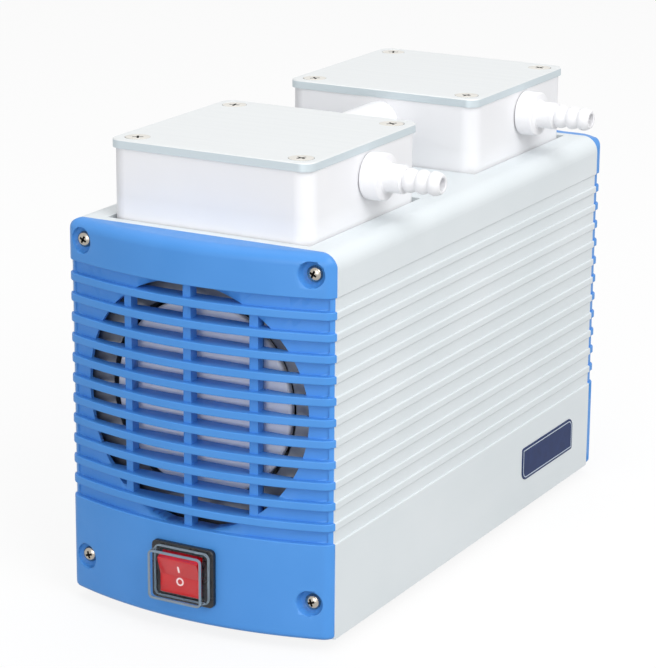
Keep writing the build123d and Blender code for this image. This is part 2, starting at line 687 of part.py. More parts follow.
# ---------------------------------------------------------------- crankcases and motor
def make_crankcase(side):
    """Cast crankcase: pedestal, crank box with two bearing seats, and the flange that carries a head."""
    outer_face = HEAD_Y + CRANKCASE_D / 2
    wall = MAIN_BEARING_W
    with BuildPart() as case:
        with BuildSketch(end_plane(side, outer_face)):
            with Locations((0, (FLOOR_Z + CRANKCASE_FLOOR_H + FLANGE_LOW_Z) / 2)):
                Rectangle(CRANKCASE_W, FLANGE_LOW_Z - FLOOR_Z - CRANKCASE_FLOOR_H)
            with Locations((0, (BASE_TOP_Z + FLOOR_Z + CRANKCASE_FLOOR_H) / 2)):
                Rectangle(PEDESTAL_T, FLOOR_Z + CRANKCASE_FLOOR_H - BASE_TOP_Z)
            with Locations((0, BASE_TOP_Z + PEDESTAL_FOOT_T / 2)):
                Rectangle(CRANKCASE_W, PEDESTAL_FOOT_T)
        extrude(amount=-CRANKCASE_D)
        cavity_low = FLOOR_Z + CRANKCASE_FLOOR_H + CRANKCASE_FLOOR_T
        with BuildSketch(end_plane(side, outer_face - wall)):
            with Locations((0, (cavity_low + FLANGE_LOW_Z) / 2)):
                Rectangle(CRANKCASE_CAVITY_W, FLANGE_LOW_Z - cavity_low)
        extrude(amount=-CRANKCASE_D + 2 * wall, mode=Mode.SUBTRACT)
        with BuildSketch(Plane.XY.offset(BASE_TOP_Z)):
            with Locations((0, side * HEAD_Y)):
                Rectangle(PEDESTAL_W, PEDESTAL_T)
        extrude(amount=FLOOR_Z + CRANKCASE_FLOOR_H - BASE_TOP_Z)
        with BuildSketch(Plane.XY.offset(FLANGE_LOW_Z)):
            with Locations((0, side * HEAD_Y)):
                RectangleRounded(HEAD_W, HEAD_W, HEAD_CORNER_R)
        extrude(amount=CRANKCASE_FLANGE_T)
        with Locations((0, side * HEAD_Y, HEAD_SEAT_Z)):
            CounterBoreHole(CHAMBER_R, DIAPHRAGM_R + THREAD_GAP, DIAPHRAGM_T, depth=CRANKCASE_FLANGE_T)
            with GridLocations(HEAD_SCREW_SPACING, HEAD_SCREW_SPACING, 2, 2):
                Hole(HEAD_SCREW_R + THREAD_GAP, depth=CRANKCASE_FLANGE_T)
        with BuildSketch(end_plane(side, outer_face)):
            with Locations((0, SHAFT_Z)):
                Circle(MAIN_BEARING_R)
        extrude(amount=-CRANKCASE_D, mode=Mode.SUBTRACT)
    return case


def make_main_bearings():
    """The four bearings that carry the shaft, one in each crankcase wall."""
    with BuildPart() as bearings:
        for _, side in ENDS:
            for distance in (HEAD_Y + CRANKCASE_D / 2, HEAD_Y - CRANKCASE_D / 2 + MAIN_BEARING_W):
                with BuildSketch(end_plane(side, distance)):
                    with Locations((0, SHAFT_Z)):
                        Circle(MAIN_BEARING_R)
                        Circle(SHAFT_R + RUNNING_GAP, mode=Mode.SUBTRACT)
                extrude(amount=-MAIN_BEARING_W)
    return bearings


def make_stator_core():
    """Round laminated stack, bored for the rotor."""
    with BuildPart() as stator:
        with BuildSketch(end_plane(FRONT, STATOR_L / 2)):
            with Locations((0, SHAFT_Z)):
                Circle(STATOR_R)
                Circle(ROTOR_R + AIR_GAP, mode=Mode.SUBTRACT)
        extrude(amount=-STATOR_L)
    return stator


def make_stator_windings():
    """The rounded end turns on both faces of the stack."""
    with BuildPart() as windings:
        for _, side in ENDS:
            with BuildSketch(end_plane(side, STATOR_L / 2)):
                with Locations((0, SHAFT_Z)):
                    Circle(WINDING_R)
                    Circle(WINDING_INNER_R, mode=Mode.SUBTRACT)
            extrude(amount=WINDING_L)
        fillet(windings.edges().group_by(Axis.Y)[-1], WINDING_EDGE_R)
        fillet(windings.edges().group_by(Axis.Y)[0], WINDING_EDGE_R)
    return windings


def make_motor_end_ring(side):
    """Windowed ring between a crankcase and the stack, round the end turns."""
    outer = HEAD_Y - CRANKCASE_D / 2
    with BuildPart() as ring:
        with BuildSketch(end_plane(side, outer)):
            with Locations((0, SHAFT_Z)):
                Circle(STATOR_R)
                Circle(STATOR_R - END_RING_T, mode=Mode.SUBTRACT)
        extrude(amount=STATOR_L / 2 - outer)
        middle = (outer + STATOR_L / 2) / 2
        with Locations((0, side * middle, SHAFT_Z)):
            with Locations(Plane.XZ):
                with PolarLocations(STATOR_R, END_RING_WINDOWS, start_angle=180 / END_RING_WINDOWS):
                    Box(4 * END_RING_T, STATOR_R * 2 / END_RING_WINDOWS, END_RING_WINDOW_H,
                        mode=Mode.SUBTRACT)
    return ring


def make_run_capacitor():
    """The motor's capacitor, lying on the base plate beside the pedestals."""
    with BuildPart() as capacitor:
        with BuildSketch(end_plane(FRONT, CAPACITOR_L / 2)):
            with Locations((CAPACITOR_X, CAPACITOR_Z)):
                Circle(CAPACITOR_R)
        extrude(amount=-CAPACITOR_L)
        fillet(capacitor.edges(), CAPACITOR_EDGE_R)
    return capacitor


def make_capacitor_clamp():
    """Band round the capacitor with a flat foot on the base plate."""
    with BuildPart() as clamp:
        with BuildSketch(end_plane(FRONT, CLAMP_W / 2)):
            with Locations((CAPACITOR_X, CAPACITOR_Z)):
                Circle(CAPACITOR_R + THREAD_GAP + CLAMP_T)
            with Locations((CAPACITOR_X, BASE_TOP_Z + CLAMP_T / 2)):
                Rectangle(2 * CAPACITOR_R, CLAMP_T)
            with Locations((CAPACITOR_X, CAPACITOR_Z)):
                Circle(CAPACITOR_R + THREAD_GAP, mode=Mode.SUBTRACT)
        extrude(amount=-CLAMP_W)
    return clamp


# ---------------------------------------------------------------- shaft, eccentrics and rods
def make_rotor_shaft():
    """One straight shaft from fan to fan."""
    with BuildPart() as shaft:
        with BuildSketch(end_plane(FRONT, SHAFT_END)):
            with Locations((0, SHAFT_Z)):
                Circle(SHAFT_R)
        extrude(amount=-2 * SHAFT_END)
    return shaft


def make_rotor_core():
    """Laminated rotor on the shaft."""
    with BuildPart() as core:
        with BuildSketch(end_plane(FRONT, STATOR_L / 2)):
            with Locations((0, SHAFT_Z)):
                Circle(ROTOR_R)
                Circle(SHAFT_R, mode=Mode.SUBTRACT)
        extrude(amount=-STATOR_L)
    return core


def lift(side):
    """Height of an end's eccentric above the shaft: the front one is up and the rear one down."""
    return -side * THROW


def make_eccentric(side):
    """Eccentric with a half-round counterweight on its motor side, opposite the throw."""
    inner = HEAD_Y - ECCENTRIC_W / 2 - WEIGHT_GAP
    with BuildPart() as eccentric:
        with BuildSketch(end_plane(side, HEAD_Y + ECCENTRIC_W / 2)):
            with Locations((0, SHAFT_Z + lift(side))):
                Circle(ECCENTRIC_R)
        extrude(amount=-ECCENTRIC_W - WEIGHT_GAP)
        with BuildSketch(end_plane(side, inner)):
            with Locations((0, SHAFT_Z)):
                Circle(WEIGHT_R)
            with Locations((0, SHAFT_Z + side * WEIGHT_R / 2)):
                Rectangle(2 * WEIGHT_R, WEIGHT_R, mode=Mode.INTERSECT)
            with Locations((0, SHAFT_Z + lift(side))):
                Circle(ECCENTRIC_R)
        extrude(amount=-WEIGHT_W)
        with BuildSketch(end_plane(side, HEAD_Y + ECCENTRIC_W / 2)):
            with Locations((0, SHAFT_Z)):
                Circle(SHAFT_R)
        extrude(amount=-ECCENTRIC_W - WEIGHT_GAP - WEIGHT_W, mode=Mode.SUBTRACT)
    return eccentric


def make_rod_bearing(side):
    """Bearing between an eccentric and its rod."""
    with BuildPart() as bearing:
        with BuildSketch(end_plane(side, HEAD_Y + ROD_BEARING_W / 2)):
            with Locations((0, SHAFT_Z + lift(side))):
                Circle(ROD_BEARING_R)
                Circle(ECCENTRIC_R + RUNNING_GAP, mode=Mode.SUBTRACT)
        extrude(amount=-ROD_BEARING_W)
    return bearing


def make_rod(side):
    """Connecting rod: ring, shank and round top with a blind hole for the clamp disc's stud."""
    axis_z = SHAFT_Z + lift(side)
    with BuildPart() as rod:
        with BuildSketch(end_plane(side, HEAD_Y + ROD_W / 2)):
            with Locations((0, axis_z)):
                Circle(ROD_BEARING_R + ROD_RING_T)
            with Locations((0, axis_z + ROD_LENGTH / 2)):
                Rectangle(ROD_SHANK_W, ROD_LENGTH)
            with Locations((0, axis_z)):
                Circle(ROD_BEARING_R, mode=Mode.SUBTRACT)
        extrude(amount=-ROD_W)
        with Locations((0, side * HEAD_Y, axis_z + ROD_LENGTH)):
            Cylinder(ROD_TOP_R, ROD_TOP_T, align=(Align.CENTER, Align.CENTER, Align.MAX))
            Hole(STUD_R + THREAD_GAP, depth=STUD_L)
    return rod


def make_clamp_plate(side):
    """Lower disc under the diaphragm, on top of the rod."""
    with BuildPart() as plate:
        with Locations((0, side * HEAD_Y, SHAFT_Z + lift(side) + ROD_LENGTH)):
            Cylinder(CLAMP_DISC_R, CLAMP_DISC_T, align=(Align.CENTER, Align.CENTER, Align.MIN))
            Hole(STUD_R + THREAD_GAP)
        fillet(plate.edges().filter_by(GeomType.CIRCLE).sort_by(SortBy.RADIUS)[-2:], CLAMP_DISC_EDGE_R)
    return plate


def make_clamp_disc(side):
    """Upper disc over the diaphragm, with the stud that goes down into the rod."""
    seat = SHAFT_Z + lift(side) + ROD_LENGTH + CLAMP_DISC_T + DIAPHRAGM_T
    with BuildPart() as disc:
        with Locations((0, side * HEAD_Y, seat)):
            Cylinder(CLAMP_DISC_R, CLAMP_DISC_T, align=(Align.CENTER, Align.CENTER, Align.MIN))
        fillet(disc.edges(), CLAMP_DISC_EDGE_R)
        with Locations((0, side * HEAD_Y, seat)):
            Cylinder(STUD_R, DIAPHRAGM_T + CLAMP_DISC_T + STUD_L - SEAT_GAP,
                     align=(Align.CENTER, Align.CENTER, Align.MAX))
    return disc


def make_diaphragm(side):
    """Elastomer disc, clamped at its rim and carried up or down in the middle by the rod."""
    low, high = HEAD_SEAT_Z - DIAPHRAGM_T, HEAD_SEAT_Z
    rise = lift(side)
    section = Plane(origin=(0, side * HEAD_Y, 0), x_dir=(1, 0, 0), z_dir=(0, -1, 0))
    with BuildPart() as diaphragm:
        with BuildSketch(section):
            with BuildLine():
                Polyline((STUD_R + THREAD_GAP, low + rise), (CLAMP_DISC_R, low + rise), (CHAMBER_R, low),
                         (DIAPHRAGM_R, low), (DIAPHRAGM_R, high), (CHAMBER_R, high),
                         (CLAMP_DISC_R, high + rise), (STUD_R + THREAD_GAP, high + rise), close=True)
            make_face()
        revolve(axis=Axis((0, side * HEAD_Y, 0), (0, 0, 1)))
    return diaphragm


# ---------------------------------------------------------------- fans
def make_fan(side):
    """Fan wheel: domed front disc, hub on the shaft's end and curved blades behind the disc."""
    rim_face = FAN_FRONT - FAN_DISC_DOME
    section = Plane(origin=(0, 0, SHAFT_Z), x_dir=(1, 0, 0), z_dir=(0, 0, side))
    with BuildPart() as fan:
        with BuildSketch(section):
            with BuildLine():
                face = Line((0, FAN_FRONT), (FAN_FACE_R, FAN_FRONT))
                dome = TangentArc(face @ 1, (FAN_R, rim_face), tangent=face % 1)
                Polyline(dome @ 1, (FAN_R, rim_face - FAN_DISC_T), (0, rim_face - FAN_DISC_T), face @ 0)
            make_face()
            fillet(vertices().group_by(Axis.X)[-1].sort_by(Axis.Y)[-1], FAN_EDGE_R)
        revolve(axis=Axis((0, 0, SHAFT_Z), (0, side, 0)))
        with BuildSketch(end_plane(side, FAN_BACK)):
            with Locations((0, SHAFT_Z)):
                Circle(FAN_HUB_R)
                with PolarLocations(0, FAN_BLADES):
                    add(fan_blade())
        extrude(amount=FAN_DEPTH)
        with BuildSketch(end_plane(side, FAN_BACK)):
            with Locations((0, SHAFT_Z)):
                Circle(SHAFT_R)
        extrude(amount=SHAFT_END - FAN_BACK, mode=Mode.SUBTRACT)
    return fan


def fan_blade():
    """Outline of one curved blade, from inside the hub to the disc's rim."""
    with BuildSketch() as blade:
        with BuildLine() as spine:
            RadiusArc((FAN_HUB_R - FAN_BLADE_T, 0), ((FAN_R - FAN_BLADE_T) * 0.9, FAN_R * 0.3), FAN_R)
        trace(spine.line, line_width=FAN_BLADE_T)
    return blade.sketch


def make_fan_baffle(side):
    """Plate across the housing's end with a collar round the fan."""
    face = HALF_L - BAFFLE_SETBACK
    low, high = FLOOR_Z + BAFFLE_LOW_H, TOP_Z - BAFFLE_TOP_MARGIN
    with BuildPart() as baffle:
        with BuildSketch(end_plane(side, face)):
            with Locations((0, (low + high) / 2)):
                RectangleRounded(INNER_W - 2 * SEAT_GAP, high - low, BAFFLE_CORNER_R)
        extrude(amount=-BAFFLE_T)
        with BuildSketch(end_plane(side, face)):
            with Locations((0, SHAFT_Z)):
                Circle(BAFFLE_HOLE_R + BAFFLE_COLLAR_T)
        extrude(amount=-BAFFLE_COLLAR_L)
        with BuildSketch(end_plane(side, face)):
            with Locations((0, SHAFT_Z)):
                Circle(BAFFLE_HOLE_R)
        extrude(amount=-BAFFLE_COLLAR_L, mode=Mode.SUBTRACT)
    return baffle


# ---------------------------------------------------------------- heads
def outer_valve_point(side):
    """Centre of the valve under an end's barb."""
    return VALVE_OFFSET, side * HEAD_Y + BARB_SHIFT_Y


def inner_valve_point(side):
    """Centre of the valve by the link tube."""
    return 0, side * (HEAD_Y - VALVE_OFFSET)


def valve_points(side):
    """An end's inlet and outlet valve centres: gas enters at the front barb and leaves at the rear one."""
    if side == FRONT:
        return outer_valve_point(side), inner_valve_point(side)
    return inner_valve_point(side), outer_valve_point(side)


def head_block(side, low, high):
    """Square block with rounded upright corners and the four screw holes."""
    with BuildPart() as block:
        with BuildSketch(Plane.XY.offset(low)):
            with Locations((0, side * HEAD_Y)):
                RectangleRounded(HEAD_W, HEAD_W, HEAD_CORNER_R)
                with GridLocations(HEAD_SCREW_SPACING, HEAD_SCREW_SPACING, 2, 2):
                    Circle(HEAD_SCREW_R + HOLE_GAP, mode=Mode.SUBTRACT)
        extrude(amount=high - low)
    return block.part


def make_head_base(side):
    """Lower head block: diaphragm chamber below, valve pockets and the seal groove on top."""
    inlet, outlet = valve_points(side)
    with BuildPart() as base:
        add(head_block(side, HEAD_SEAT_Z, PARTING_Z))
        with Locations((0, side * HEAD_Y, HEAD_SEAT_Z)):
            Cone(CHAMBER_R, CHAMBER_TOP_R, CHAMBER_H, align=(Align.CENTER, Align.CENTER, Align.MIN),
                 mode=Mode.SUBTRACT)
        with BuildSketch(Plane.XY.offset(PARTING_Z)):
            with Locations(inlet, outlet):
                Circle(VALVE_POCKET_R)
        extrude(amount=-VALVE_POCKET_H, mode=Mode.SUBTRACT)
        with BuildSketch(Plane.XY.offset(POCKET_Z)):
            with Locations(inlet):
                with PolarLocations(VALVE_SIDE_CIRCLE_R, VALVE_SIDE_HOLES, start_angle=45):
                    Circle(VALVE_SIDE_HOLE_R)
            with Locations(outlet):
                Circle(VALVE_SEAT_HOLE_R)
        extrude(amount=HEAD_SEAT_Z + CHAMBER_H / 2 - POCKET_Z, mode=Mode.SUBTRACT)
        with BuildSketch(Plane.XY.offset(POCKET_Z)):
            with Locations(inlet):
                Circle(VALVE_STOP_R)
        extrude(amount=VALVE_POCKET_H - VALVE_OPEN_H)
        with BuildSketch(Plane.XY.offset(PARTING_Z)):
            with Locations((0, side * HEAD_Y)):
                Circle(SEAL_R + SEAL_W / 2 + THREAD_GAP)
                Circle(SEAL_R - SEAL_W / 2 - THREAD_GAP, mode=Mode.SUBTRACT)
        extrude(amount=-SEAL_T, mode=Mode.SUBTRACT)
    return base


def make_head_cover(side):
    """Upper head block: valve plenum and seat, barb socket on +X and link socket on the inner face."""
    inlet, outlet = valve_points(side)
    outer, inner = outer_valve_point(side), inner_valve_point(side)
    barb_face = Plane(origin=(HEAD_W / 2, outer[1], PORT_Z), x_dir=(0, 1, 0), z_dir=(1, 0, 0))
    link_face = Plane(origin=(0, side * HEAD_INNER_FACE, PORT_Z), x_dir=(side, 0, 0), z_dir=(0, -side, 0))
    with BuildPart() as cover:
        add(head_block(side, PARTING_Z, HEAD_TOP_Z))
        with BuildSketch(Plane.XY.offset(PARTING_Z)):
            with Locations(outlet):
                Circle(VALVE_PLENUM_R)
            with Locations(inlet):
                Circle(VALVE_SEAT_HOLE_R)
        extrude(amount=PORT_Z + PORT_BORE_R - PARTING_Z, mode=Mode.SUBTRACT)
        for face, reach in ((barb_face, HEAD_W / 2 - outer[0]), (link_face, abs(inner[1]) - HEAD_INNER_FACE)):
            with BuildSketch(face):
                Circle(PORT_SOCKET_R)
            extrude(amount=-PORT_SOCKET_L, mode=Mode.SUBTRACT)
            with BuildSketch(face):
                Circle(PORT_BORE_R)
            extrude(amount=-reach, mode=Mode.SUBTRACT)
        with BuildSketch(Plane.XY.offset(POCKET_Z + VALVE_OPEN_H)):
            with Locations(outlet):
                Circle(VALVE_STOP_R)
        extrude(amount=PORT_Z + PORT_BORE_R - POCKET_Z - VALVE_OPEN_H)
    return cover


def make_top_plate(side):
    """Bare metal plate on a head, countersunk for the four head screws."""
    with BuildPart() as plate:
        with BuildSketch(Plane.XY.offset(HEAD_TOP_Z)):
            with Locations((0, side * HEAD_Y)):
                RectangleRounded(TOP_PLATE_W, TOP_PLATE_W, TOP_PLATE_CORNER_R)
        extrude(amount=TOP_PLATE_T)
        chamfer(plate.edges().group_by(Axis.Z)[-1], TOP_PLATE_EDGE)
        with Locations((0, side * HEAD_Y, HEAD_TOP_Z + TOP_PLATE_T)):
            with GridLocations(HEAD_SCREW_SPACING, HEAD_SCREW_SPACING, 2, 2):
                CounterSinkHole(HEAD_SCREW_R + HOLE_GAP, HEAD_SCREW_HEAD_R, depth=TOP_PLATE_T,
                                counter_sink_angle=90)
    return plate


def make_head_screws():
    """Eight countersunk screws, down through plate, cover and base into the crankcase flanges."""
    top = HEAD_TOP_Z + TOP_PLATE_T - THREAD_GAP
    head_h = HEAD_SCREW_HEAD_R - HEAD_SCREW_R
    with BuildPart() as screws:
        for _, side in ENDS:
            with Locations((0, side * HEAD_Y, top)):
                with GridLocations(HEAD_SCREW_SPACING, HEAD_SCREW_SPACING, 2, 2):
                    Cone(HEAD_SCREW_R, HEAD_SCREW_HEAD_R - 2 * THREAD_GAP, head_h - THREAD_GAP,
                         align=(Align.CENTER, Align.CENTER, Align.MAX))
                    Cylinder(HEAD_SCREW_R, top - HEAD_SEAT_Z + HEAD_SCREW_THREAD_L,
                             align=(Align.CENTER, Align.CENTER, Align.MAX))
    return screws


def make_head_seals():
    """The two ring seals at the parting faces."""
    with BuildPart() as seals:
        for _, side in ENDS:
            with BuildSketch(Plane.XY.offset(PARTING_Z)):
                with Locations((0, side * HEAD_Y)):
                    Circle(SEAL_R + SEAL_W / 2)
                    Circle(SEAL_R - SEAL_W / 2, mode=Mode.SUBTRACT)
            extrude(amount=-SEAL_T)
    return seals


def make_valve(centre, low):
    """One flat valve disc."""
    with BuildPart() as valve:
        with Locations((*centre, low)):
            Cylinder(VALVE_R, VALVE_T, align=(Align.CENTER, Align.CENTER, Align.MIN))
    return valve


def make_barb(side):
    """Hose barb: spigot in the head's socket, flange, neck and three ridges round a straight bore."""
    section = Plane(origin=(HEAD_W / 2, outer_valve_point(side)[1], PORT_Z), x_dir=(1, 0, 0), z_dir=(0, -1, 0))
    spigot = PORT_SOCKET_L - SEAT_GAP
    ridges = []
    for ridge in range(BARB_RIDGES):
        start = BARB_FLANGE_L + BARB_NECK_L + ridge * BARB_PITCH
        ridges += [(start, BARB_CREST_R), (start + BARB_LAND, BARB_CREST_R), (start + BARB_PITCH, BARB_ROOT_R)]
    with BuildPart() as barb:
        with BuildSketch(section):
            with BuildLine():
                Polyline((-spigot, BARB_BORE_R), (-spigot, PORT_SOCKET_R - THREAD_GAP),
                         (0, PORT_SOCKET_R - THREAD_GAP), (0, BARB_FLANGE_R), (BARB_FLANGE_L, BARB_FLANGE_R),
                         (BARB_FLANGE_L, BARB_NECK_R), (BARB_FLANGE_L + BARB_NECK_L, BARB_NECK_R), *ridges,
                         (BARB_LENGTH, BARB_BORE_R), close=True)
            make_face()
        revolve(axis=Axis(section.origin, (1, 0, 0)))
        flange_edges = barb.edges().filter_by(GeomType.CIRCLE).filter_by(
            lambda edge: abs(edge.radius - BARB_FLANGE_R) < THREAD_GAP)
        fillet(flange_edges, BARB_EDGE_R)
    return barb


def make_link_tube():
    """Tube between the two heads, with a spigot in each head's inner face."""
    section = Plane(origin=(0, 0, PORT_Z), x_dir=(0, 1, 0), z_dir=(1, 0, 0))
    spigot_end = HEAD_INNER_FACE + PORT_SOCKET_L - SEAT_GAP
    with BuildPart() as link:
        with BuildSketch(section):
            with BuildLine():
                Polyline((-spigot_end, PORT_BORE_R), (-spigot_end, PORT_SOCKET_R - THREAD_GAP),
                         (-HEAD_INNER_FACE, PORT_SOCKET_R - THREAD_GAP), (-HEAD_INNER_FACE, LINK_R - LINK_EDGE),
                         (LINK_EDGE - HEAD_INNER_FACE, LINK_R), (HEAD_INNER_FACE - LINK_EDGE, LINK_R),
                         (HEAD_INNER_FACE, LINK_R - LINK_EDGE), (HEAD_INNER_FACE, PORT_SOCKET_R - THREAD_GAP),
                         (spigot_end, PORT_SOCKET_R - THREAD_GAP), (spigot_end, PORT_BORE_R), close=True)
            make_face()
        revolve(axis=Axis((0, 0, PORT_Z), (0, 1, 0)))
    return link


# ---------------------------------------------------------------- assembly
def main():
    """Build every sub-part and write it to its own STEP file."""
    os.makedirs("parts", exist_ok=True)
    switch_cutout = (SWITCH_BODY_W + 2 * HOLE_GAP, SWITCH_BODY_HT + 2 * HOLE_GAP)
    inlet_cutout = (INLET_BODY_W + 2 * HOLE_GAP, INLET_BODY_HT + 2 * HOLE_GAP)
    inlet_pad = (INLET_FLANGE_W + 2 * INLET_PAD_MARGIN, INLET_FLANGE_HT + 2 * INLET_PAD_MARGIN)
    save("housing_shell", make_housing_shell())
    save("base_plate", make_base_plate())
    save("base_plate_screws", make_base_plate_screws())
    save("rubber_feet", make_rubber_feet())
    save("feet_studs", make_feet_studs())
    save("front_cover", make_cover(FRONT, FLOOR_Z + SWITCH_H, cutout=switch_cutout))
    save("rear_cover", make_cover(REAR, FLOOR_Z + INLET_H, inlet_pad, inlet_cutout,
                                  INLET_SCREW_R + THREAD_GAP))
    save("cover_screws", make_cover_screws())
    save("switch_body", make_switch_body())
    save("switch_rocker", make_rocker())
    save("switch_boot", make_switch_boot())
    save("power_inlet", make_power_inlet())
    save("inlet_pins", make_inlet_pins())
    save("inlet_screws", make_inlet_screws())
    save("main_bearings", make_main_bearings())
    save("stator_core", make_stator_core())
    save("stator_windings", make_stator_windings())
    save("run_capacitor", make_run_capacitor())
    save("capacitor_clamp", make_capacitor_clamp())
    save("rotor_shaft", make_rotor_shaft())
    save("rotor_core", make_rotor_core())
    save("head_screws", make_head_screws())
    save("head_seals", make_head_seals())
    save("inlet_barb", make_barb(FRONT))
    save("outlet_barb", make_barb(REAR))
    save("link_tube", make_link_tube())
    for end, side in ENDS:
        inlet, outlet = valve_points(side)
        save(f"{end}_crankcase", make_crankcase(side))
        save(f"{end}_motor_ring", make_motor_end_ring(side))
        save(f"{end}_fan_baffle", make_fan_baffle(side))
        save(f"{end}_fan", make_fan(side))
        save(f"{end}_eccentric", make_eccentric(side))
        save(f"{end}_rod_bearing", make_rod_bearing(side))
        save(f"{end}_rod", make_rod(side))
        save(f"{end}_clamp_plate", make_clamp_plate(side))
        save(f"{end}_clamp_disc", make_clamp_disc(side))
        save(f"{end}_diaphragm", make_diaphragm(side))
        save(f"{end}_head_base", make_head_base(side))
        save(f"{end}_head_cover", make_head_cover(side))
        save(f"{end}_top_plate", make_top_plate(side))
        save(f"{end}_inlet_valve", make_valve(inlet, PARTING_Z - VALVE_SEAT_GAP - VALVE_T))
        save(f"{end}_outlet_valve", make_valve(outlet, POCKET_Z + VALVE_SEAT_GAP))


main()
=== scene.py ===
"""Looks of the twin-head diaphragm vacuum pump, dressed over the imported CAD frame.

Metres, in the frame of the CAD: +Z up, the switch end faces -Y and the hose barbs point to +X.
"""
import json
from itertools import product
from math import atan2, cos, pi, radians, sin, tau

import bmesh
import bpy
from mathutils import Matrix, Vector


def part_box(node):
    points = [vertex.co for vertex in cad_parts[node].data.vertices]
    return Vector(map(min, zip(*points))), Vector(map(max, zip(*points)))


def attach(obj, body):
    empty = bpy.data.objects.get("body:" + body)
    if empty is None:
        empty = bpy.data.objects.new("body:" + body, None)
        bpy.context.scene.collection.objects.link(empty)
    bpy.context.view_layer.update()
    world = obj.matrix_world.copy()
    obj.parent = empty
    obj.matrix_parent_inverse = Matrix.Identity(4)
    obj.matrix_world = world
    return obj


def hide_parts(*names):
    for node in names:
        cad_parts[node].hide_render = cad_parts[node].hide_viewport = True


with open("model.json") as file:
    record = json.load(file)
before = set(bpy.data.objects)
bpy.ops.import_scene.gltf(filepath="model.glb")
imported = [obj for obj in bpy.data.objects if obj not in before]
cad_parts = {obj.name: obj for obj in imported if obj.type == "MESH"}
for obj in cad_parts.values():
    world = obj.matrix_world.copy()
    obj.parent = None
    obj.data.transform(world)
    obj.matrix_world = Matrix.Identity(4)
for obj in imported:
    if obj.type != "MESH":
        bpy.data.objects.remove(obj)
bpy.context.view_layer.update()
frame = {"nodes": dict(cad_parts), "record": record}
MM = 0.001


# ---------------------------------------------------------------- camera
CAMERA_TARGET = Vector((22.3, -62.3, 123.3)) * MM
CAMERA_DISTANCE = 1273.1 * MM
CAMERA_AZIMUTH = radians(28.9)
CAMERA_ELEVATION = radians(16.31)
CAMERA_ROLL = radians(0.45)
CAMERA_LENS = 145.4
CAMERA_CLIP_END = 20


def add_camera():
    """Camera at the photograph's angle and distance."""
    right = Vector((cos(CAMERA_AZIMUTH), sin(CAMERA_AZIMUTH), 0))
    back = Vector((sin(CAMERA_AZIMUTH) * cos(CAMERA_ELEVATION),
                   -cos(CAMERA_AZIMUTH) * cos(CAMERA_ELEVATION), sin(CAMERA_ELEVATION)))
    axes = Matrix((right, back.cross(right), back)).transposed()
    data = bpy.data.cameras.new("camera")
    data.lens = CAMERA_LENS
    data.clip_end = CAMERA_CLIP_END
    camera = bpy.data.objects.new("camera", data)
    bpy.context.scene.collection.objects.link(camera)
    turned = axes @ Matrix.Rotation(CAMERA_ROLL, 3, "Z")
    camera.matrix_world = Matrix.Translation(CAMERA_TARGET + back * CAMERA_DISTANCE) @ turned.to_4x4()
    bpy.context.scene.camera = camera


# ---------------------------------------------------------------- light, world and floor
# Each light's place, size and power; all are aimed at one point
LIGHTS = {
    "key": ((1.9, -1.0, 1.8), 1.6, 43),
    "front": ((0.5, -2.6, 0.55), 1.4, 20),
    "top": ((0, 0.2, 2.2), 2.2, 14),
}
LIGHT_TARGET = Vector((0, 0, 0.1))
WORLD_STRENGTH = 0.48
# The floor's half width, its share of plain white where it is seen, and its tone when seen and as it
# lights the object
FLOOR_HALF_W = 4.0
FLOOR_WHITE = 0.86
FLOOR_SEEN = 0.97
FLOOR_BOUNCE = 0.42


def add_area_light(name, place, size, power):
    """Square soft light aimed at the object."""
    data = bpy.data.lights.new(name, "AREA")
    data.size = size
    data.energy = power
    light = bpy.data.objects.new(name, data)
    light.location = place
    light.rotation_euler = (Vector(place) - LIGHT_TARGET).to_track_quat("Z", "Y").to_euler()
    bpy.context.scene.collection.objects.link(light)


def background_ray(nodes, links):
    """1 for camera, glossy and transmission rays, else 0."""
    path = nodes.new("ShaderNodeLightPath")
    shiny = nodes.new("ShaderNodeMath")
    shiny.operation = "MAXIMUM"
    links.new(path.outputs["Is Glossy Ray"], shiny.inputs[0])
    links.new(path.outputs["Is Transmission Ray"], shiny.inputs[1])
    seen = nodes.new("ShaderNodeMath")
    seen.operation = "MAXIMUM"
    links.new(path.outputs["Is Camera Ray"], seen.inputs[0])
    links.new(shiny.outputs[0], seen.inputs[1])
    return seen.outputs[0]


def set_world(strength):
    """Even white surround: white to the camera and in reflections, dimmer as a light."""
    world = bpy.data.worlds.new("studio")
    bpy.context.scene.world = world
    world.use_nodes = True
    nodes, links = world.node_tree.nodes, world.node_tree.links
    light = nodes["Background"]
    light.inputs["Color"].default_value = (1, 1, 1, 1)
    light.inputs["Strength"].default_value = strength
    white = nodes.new("ShaderNodeBackground")
    white.inputs["Color"].default_value = (1, 1, 1, 1)
    white.inputs["Strength"].default_value = 1.0
    mix = nodes.new("ShaderNodeMixShader")
    links.new(background_ray(nodes, links), mix.inputs["Fac"])
    links.new(light.outputs[0], mix.inputs[1])
    links.new(white.outputs[0], mix.inputs[2])
    links.new(mix.outputs[0], nodes["World Output"].inputs["Surface"])


